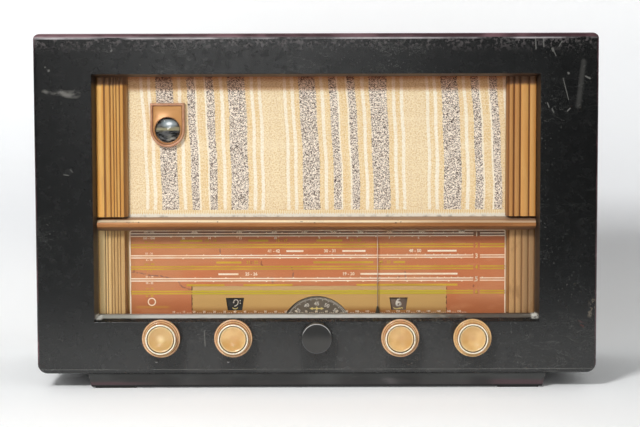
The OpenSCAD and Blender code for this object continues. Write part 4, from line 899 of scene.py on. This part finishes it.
# The print on the dial: cream and olive double lines with ticks, bars for the short-wave bands and plain
# numbers, inside a cream border with rounded upper corners. It is thin ink, drawn just in front of the film.
print_depth = 33.45
border_corner = 3.4
line_start, line_end, gap_start, gap_end = -202.2, 204.8, 170.2, 177.3
band_number_x, band_range_x = 173.7, -181.8
cream_lines = [(164, 161.2), (140, 137.6), (114.9, 112.4)]
olive_lines = [(151.9, 149.1), (127.9, 125.2), (100.9, 98.5)]


def bars(z, size, *spans):
    """Upright rectangles of one height, each from one x to another"""
    low, high = z - size / 2, z + size / 2
    return [[(start, low), (end, low), (end, high), (start, high)] for start, end in spans]


def double_line(pair, size):
    return [line for z in pair for line in bars(z, size, (line_start, gap_start), (gap_end, line_end))]


def ticks(z, rise, first, ratio, count, size=0.9):
    """Short strokes above or below a line, drawing together towards the right"""
    reach = 318
    places = [first + reach * (1 - ratio ** i) / (1 - ratio ** count) for i in range(count)]
    return bars(z + rise / 2, rise, *[(x - size / 2, x + size / 2) for x in places])


def framed(points, width):
    """An open line of (x, z) points as quads of one width, to the right of the line"""
    inner = []
    for i, (x, z) in enumerate(points):
        before, after = Vector(points[max(i - 1, 0)]), Vector(points[min(i + 1, len(points) - 1)])
        along = (after - before).normalized()
        inner.append((x + along[1] * width, z - along[0] * width))
    return [[points[i], points[i + 1], inner[i + 1], inner[i]] for i in range(len(points) - 1)]


def row(z, size, *words):
    """Words along one height, each with its x"""
    return [(word, x, z, size, 0) for word, x in words]


def column(x, size, *words):
    """Words below one another, each with its height"""
    return [(word, x, z, size, 0) for word, z in words]


border = [(film_left, film_bottom)] + top_corners(border_corner) + [(film_right, film_bottom)]
cream_marks = framed(border, 1.5)
for number, pair in enumerate(cream_lines):
    cream_marks += double_line(pair, 1.15)
    cream_marks += ticks(pair[0] + 0.4, 1.0, -150 + 9 * number, 0.965, 22 + 4 * number)
    cream_marks += ticks(pair[1] - 0.4, -0.9, -158 + 13 * number, 0.98, 15 + 2 * number, 1.6)
cream_marks += bars(144.7, 1.9, (-32.8, -14.3), (28, 53.1), (120.5, 152))
cream_marks += bars(119.6, 1.9, (-106.8, -85), (47.6, 153.1))
cream_marks += framed(arc(-179.4, 89.6, 4.5, 360, 0, 24), 1.2)
long_wave_places = (-132.8, -83.9, -45.9, -13.3, 18.3, 47.6, 79.1, 113.9, 157.4)
cream_words = row(165.9, 4.2, *[(str(200 + 50 * i), x) for i, x in enumerate(long_wave_places)])
cream_words += row(158.9, 3.4, ("16", -144.8), ("14", -116.5), ("12", -82.8), ("10", -44.8), ("9", 3),
                   ("8", 33.5), ("7", 79.1), ("6", 110.7))
cream_words += row(144.7, 4.6, ("41 - 42", -46.5), ("30 - 31", 14.5), ("48 - 50", 107))
cream_words += row(119.6, 4.6, ("25 - 26", -71), ("19 - 20", 34.5))
cream_words += column(band_number_x, 7, ("1", 162.6), ("3", 138.8), ("5", 113.6))
cream_words += column(band_range_x, 2.9, ("550 - 200", 166.2), ("550 - 1500", 158.9), ("51 - 31", 142.2),
                      ("6 - 10", 135.3), ("31 - 14", 117), ("10 - 22", 110.1))
number_start, number_pitch = -155.7, 11.09
for i in range(29):
    x = number_start + number_pitch * i
    cream_words += row(78.3, 3, (str(10 + 5 * i), x))
    cream_marks += bars(77.4, 0.7, *[(x + step - 0.35, x + step + 0.35) for step in (3.7, 5.5, 7.4)])

olive_marks = []
for number, pair in enumerate(olive_lines):
    olive_marks += double_line(pair, 1.5 if number < 2 else 1.7)
    olive_marks += ticks(pair[0] + 0.6, 0.9, -146 + 11 * number, 0.975, 12 + 3 * number, 1.4)
olive_marks += bars(156.2, 2.2, (-148.1, -124.1), (-74.1, -52.4), (-0.2, 28))
olive_marks += bars(132.4, 2.2, (-108.9, -81.7), (-3.5, 61.7), (83.5, 96))
olive_marks += bars(107.6, 2.2, (-141.5, -100.2), (-79.6, -26.3), (43.3, 153.1))
olive_words = row(156.2, 4.4, ("13 - 14", -115), ("16 - 17", -38), ("19 - 20", 42))
olive_words += row(132.4, 4.4, ("31 - 32", -70), ("49 - 50", 74))
olive_words += column(band_number_x, 6.8, ("2", 150.4), ("4", 126.6), ("6", 99.8))
olive_words += column(band_range_x, 2.9, ("90 - 160", 154.8), ("2 - 3", 147.1), ("160 - 400", 130.7),
                      ("1 - 2", 122.9), ("14 - 10", 104), ("22 - 30", 96))

cream_ink = Finish("cream_ink", Roughness=0.5)
cream_ink.base((255, 240, 214), (252, 220, 184), cream_ink.specks(60, 0.4, 0.7, 3))
olive_ink = Finish("olive_ink", Roughness=0.5)
across, depth, height = olive_ink.spot()
olive_ink.base((216, 174, 54), (196, 156, 48), olive_ink.specks(50, 0.36, 0.66, 3, (0.4, 1, 1)))
olive_ink.coat((208, 186, 46), (abs(across - 2.7) < 138) * height.fall(105, 106))
printed("dial_print_cream", print_depth, cream_ink, "cabinet", cream_marks, cream_words)
printed("dial_print_olive", print_depth, olive_ink, "cabinet", olive_marks, olive_words)


# The pointer: a painted wire needle on a dark carriage that slides behind the glass. The needle is thinner
# and the carriage's stem more tapered than in the plain model.
needle = Finish("pointer_paint", Roughness=0.4)
height = needle.spot()[2]
wire_colour = needle.mix((134, 116, 98), (216, 190, 170), height.step(106, 128))
needle.base((66, 58, 42), wire_colour, height.step(84, 85))
pointer_x = 66 * mm
stem_half, stem_taper, stem_drop = 2.5 * mm, 0.4, 2 * mm
needle_half, needle_thinning = 0.6 * mm, 0.6
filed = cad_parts["pointer"].data.copy()
stem = [corner for corner in filed.vertices if abs(abs(corner.co.x - pointer_x) - stem_half) < 0.2 * mm]
stem_top = max(corner.co.z for corner in stem)
for corner in stem:
    if corner.co.z > stem_top - 0.1 * mm:
        corner.co.x = pointer_x + (corner.co.x - pointer_x) * stem_taper
        corner.co.z -= stem_drop
for corner in filed.vertices:
    if abs(abs(corner.co.x - pointer_x) - needle_half) < 0.1 * mm:
        corner.co.x = pointer_x + (corner.co.x - pointer_x) * needle_thinning
pointer_piece = new_piece("pointer_filed", filed, needle, "pointer_body")
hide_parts("pointer")


# The three indicator discs behind the backing's windows: dark card on the wave-band and fine-tuning shafts,
# and for the tone a disc that is one piece with its black lever. Each has a generic mark in pale ink: a
# number, a scale and a curl.
mark_depth = 36.45
disc_tones = {"band": ((120, 102, 88), (104, 88, 76)), "fine": ((112, 101, 86), (98, 88, 75))}
for control, (paler, darker) in disc_tones.items():
    node = control + "_shaft"
    disc = Finish(node + "_finish", Roughness=0.55)
    across, depth, height = disc.spot()
    wide = (across - shaft_x[control]).away(height - knob_z).step(12, 12.4)
    disc.base((176, 174, 168), disc.mix(paler, darker, disc.specks(60, 0.35, 0.7, 4)), wide)
    disc.set(Metallic=1 - wide)
    dress(disc, node)

pale_ink = Finish("pale_ink", Base_Color=srgb(212, 204, 190), Roughness=0.6)
warm_ink = Finish("warm_ink", Base_Color=srgb(232, 210, 132), Roughness=0.6)
curl = arc(-88, 88.9, 2.9, 200, -20, 10) + [(-85.7, 86.3), (-87.2, 84.7), (-89.6, 83.6)]
curl_marks = framed(curl, 1.0) + bars(88.2, 1.4, (-91.3, -89.9))
curl_marks += bars(90.2, 1.2, (-84, -82.8)) + bars(87.4, 1.2, (-84, -82.8))
tone_stroke = framed(arc(-89, 84.6, 3, 215, 325, 8), 0.8)
band_stroke = framed(arc(87, 85.6, 4.4, 225, 315, 8) + arc(92.4, 80.9, 1.6, 170, 20), 0.8)
printed("tone_mark", mark_depth, pale_ink, "tone_lever_body", curl_marks)
printed("tone_stroke", mark_depth, warm_ink, "tone_lever_body", tone_stroke)
printed("band_stroke", mark_depth, warm_ink, "band_knob_body", band_stroke)
printed("band_mark", mark_depth, pale_ink, "band_knob_body", [], row(87.4, 13.5, ("6", 89)))

scale_step, stroke_half = 2.1, 0.26
long_stroke, short_stroke, scale_edge, number_radius = 34.4, 35.8, 38.6, 30.6


def on_scale(radius, degrees, off=0.0):
    """A point (x, z) of the fine-tuning scale, turned from its top, and off to one side"""
    sine, cosine = math.sin(math.radians(degrees)), math.cos(math.radians(degrees))
    return (radius * sine + off * cosine, knob_z + radius * cosine - off * sine)


scale_marks = []
for i in range(-27, 28):
    start = short_stroke if i % 5 else long_stroke
    corners = ((start, -1), (start, 1), (scale_edge, 1), (scale_edge, -1))
    scale_marks.append([on_scale(radius, scale_step * i, off * stroke_half) for radius, off in corners])
scale_words = [(word, *on_scale(number_radius, degrees), 5.6, degrees)
               for word, degrees in (("45", 0), ("50", 21), ("40", -21), ("55", 42), ("35", -42))]
printed("fine_scale", mark_depth, pale_ink, "fine_knob_body", scale_marks, scale_words)
arrow_z = 81.4
half_arrow = [(-8, 0), (-4.4, -1.6), (-4.4, -0.6), (-1, -0.6), (0, -2.6), (1, -0.6), (4.4, -0.6), (4.4, -1.6)]
arrow = half_arrow + [(-x, -z) for x, z in half_arrow]
printed("fine_arrow", mark_depth, warm_ink, "fine_knob_body", [[(x, arrow_z + z) for x, z in arrow]])


# The dial glass: a plain clear pane over the lower part of the window, in front of the print and the pointer.
# Its shader is clear, and reflects more at a slant.
pane = Finish("window_pane")
facing = pane.node("Fresnel", {"IOR": 1.2})
shine = pane.node("BsdfGlossy", {"Roughness": 0.03})
mixed = pane.node("MixShader", {0: facing, 1: pane.node("BsdfTransparent"), 2: shine})
pane.tree.links.new(mixed.socket, pane.tree.nodes["Material Output"].inputs["Surface"])
pane.tree.nodes.remove(pane.shader)
dress(pane, "dial_glass")


# What the cabinet holds. Each inner piece has the finish of the stuff that such a piece is made of: two tones
# mixed by a noise, and a fine bump.
def stuff(name, low, high, scale, roughness, metallic=0.0, size=None, bump=0.2, detail=4.0):
    finish = Finish(name, Metallic=metallic)
    grain = finish.noise(scale, detail, size)
    finish.base(low, high, grain.step(0.34, 0.68)).set(Roughness=grain * 0.16 + (roughness - 0.08))
    return finish.bump(grain, bump, 0.0004)


# The back and the bottom cover: brown pressboard, fibrous. The baffle board: birch plywood with a long grain.
dress(stuff("pressboard", (112, 80, 50), (142, 108, 72), 340, 0.85, detail=6.0, bump=0.35),
      "back_cover", "bottom_cover")
dress(stuff("plywood", (168, 128, 84), (196, 158, 112), 34, 0.7, size=(0.5, 1, 9), detail=6.0),
      "baffle_board")

# Plated steel: screws, shafts, rail, bracket and the folded chassis, dulled by a thin zinc bloom.
dress(stuff("plated_steel", (150, 150, 146), (188, 188, 182), 90, 0.36, 0.9, bump=0.05),
      "underside_screws", "back_screws", "baffle_screws", "speaker_bolts", "eye_bracket", "pointer_rail",
      "volume_shaft", "tone_shaft", "tuning_shaft", "chassis")

# The loudspeaker: a pressed basket and a magnet in grey enamel, and a paper cone pressed with fine ribs.
dress(stuff("grey_enamel", (74, 78, 78), (92, 96, 94), 260, 0.45), "speaker_basket", "speaker_magnet")
speaker_z = 259
paper = Finish("cone_paper", Roughness=0.95)
across, depth, height = paper.spot()
ribs = (across.away(height - speaker_z) * 1.6).math("SINE")
pulp = paper.noise(300, 4)
paper.base((44, 41, 38), (70, 66, 60), pulp * 0.7 + ribs * 0.15).bump(ribs * 0.6 + pulp, 0.4, 0.0006)
dress(paper, "speaker_cone")

# Drive parts: a waxed linen cord, brass pulleys, a zinc drum, and the tuning capacitor's aluminium frame and
# vanes. The cans and the smoothing capacitor are of the same aluminium.
cord = Finish("waxed_cord", Roughness=0.8)
twist = cord.node("TexWave", {"Vector": cord.place(), "Scale": 420, "Distortion": 1.0}, 1,
                  bands_direction="DIAGONAL")
cord.base((150, 132, 96), (206, 190, 150), twist).bump(twist, 0.5, 0.0003)
dress(cord, "dial_cord")
dress(stuff("brass", (176, 138, 70), (206, 168, 92), 120, 0.3, 0.95, bump=0.05),
      "left_cord_pulley", "right_cord_pulley")
dress(stuff("dull_aluminium", (168, 168, 166), (202, 202, 198), 70, 0.34, 0.92, size=(1, 1, 6), bump=0.08),
      "gang_frame", "gang_stator", "gang_rotor", "if_cans", "smoothing_capacitor")
dress(stuff("zinc", (146, 144, 136), (178, 176, 166), 60, 0.42, 0.85, bump=0.08), "drive_drum")

# Controls under the deck: brown bakelite cases, a switch of layered phenolic, a ceramic trimmer, waxed coils.
dress(stuff("brown_bakelite", (58, 34, 20), (86, 52, 30), 46, 0.35, detail=6.0, bump=0.1),
      "volume_control", "tone_control", "valve_sockets", "socket_strip")
dress(stuff("layered_phenolic", (140, 100, 52), (172, 130, 76), 120, 0.5, size=(1, 4, 1)), "band_switch")
dress(stuff("ceramic", (206, 198, 178), (226, 220, 204), 60, 0.4), "fine_trimmer")
dress(stuff("waxed_coils", (132, 88, 44), (172, 124, 70), 180, 0.6, size=(0.4, 6, 0.4)), "coil_unit")
dress(stuff("black_rubber", (24, 23, 22), (38, 37, 35), 90, 0.8), "mains_gland")

# Transformers: stacked iron laminations under a dark varnish.
laminated = Finish("laminated_iron")
layers = (laminated.parts(laminated.place())[1] * 9000).math("SINE") * 0.5 + 0.5
wound = laminated.noise(70, 4, (0.4, 1, 3))
laminated.base((44, 42, 40), (72, 70, 66), layers * 0.6 + wound * 0.3)
laminated.set(Roughness=wound * 0.2 + 0.4).bump(layers, 0.3, 0.0003)
dress(laminated, "mains_transformer", "output_transformer")

# Dial lamps: small brass holders with round bulbs of clear glass.
lamp_finish = Finish("lamp_holder", Roughness=0.3)
bulb = lamp_finish.spot()[2].step(119, 120)
lamp_finish.base((170, 134, 70), (198, 162, 92), lamp_finish.noise(90)).coat((226, 222, 206), bulb)
lamp_finish.set(Metallic=0.9 - bulb * 0.9)
dress(lamp_finish, "dial_lamps")

# Valves: a brown moulded base, a glass bulb smoked inside, and the getter's silver mirror under the dome.
deck_z = 98
valve_glass = Finish("valve_glass", Roughness=0.07, Specular_IOR_Level=0.7, Coat_Weight=0.5)
rise = valve_glass.spot()[2] - deck_z
mirror = rise.step(66, 78)
based = rise.fall(21.4, 22)
valve_glass.base((58, 60, 56), (112, 114, 106), valve_glass.specks(28, 0.35, 0.7, 4, (2, 2, 0.6)))
valve_glass.coat((206, 206, 200), mirror).coat((52, 30, 20), based)
valve_glass.set(Metallic=mirror * 0.9, Roughness=based * 0.3 + 0.07)
dress(valve_glass, "signal_valves", "power_valves")
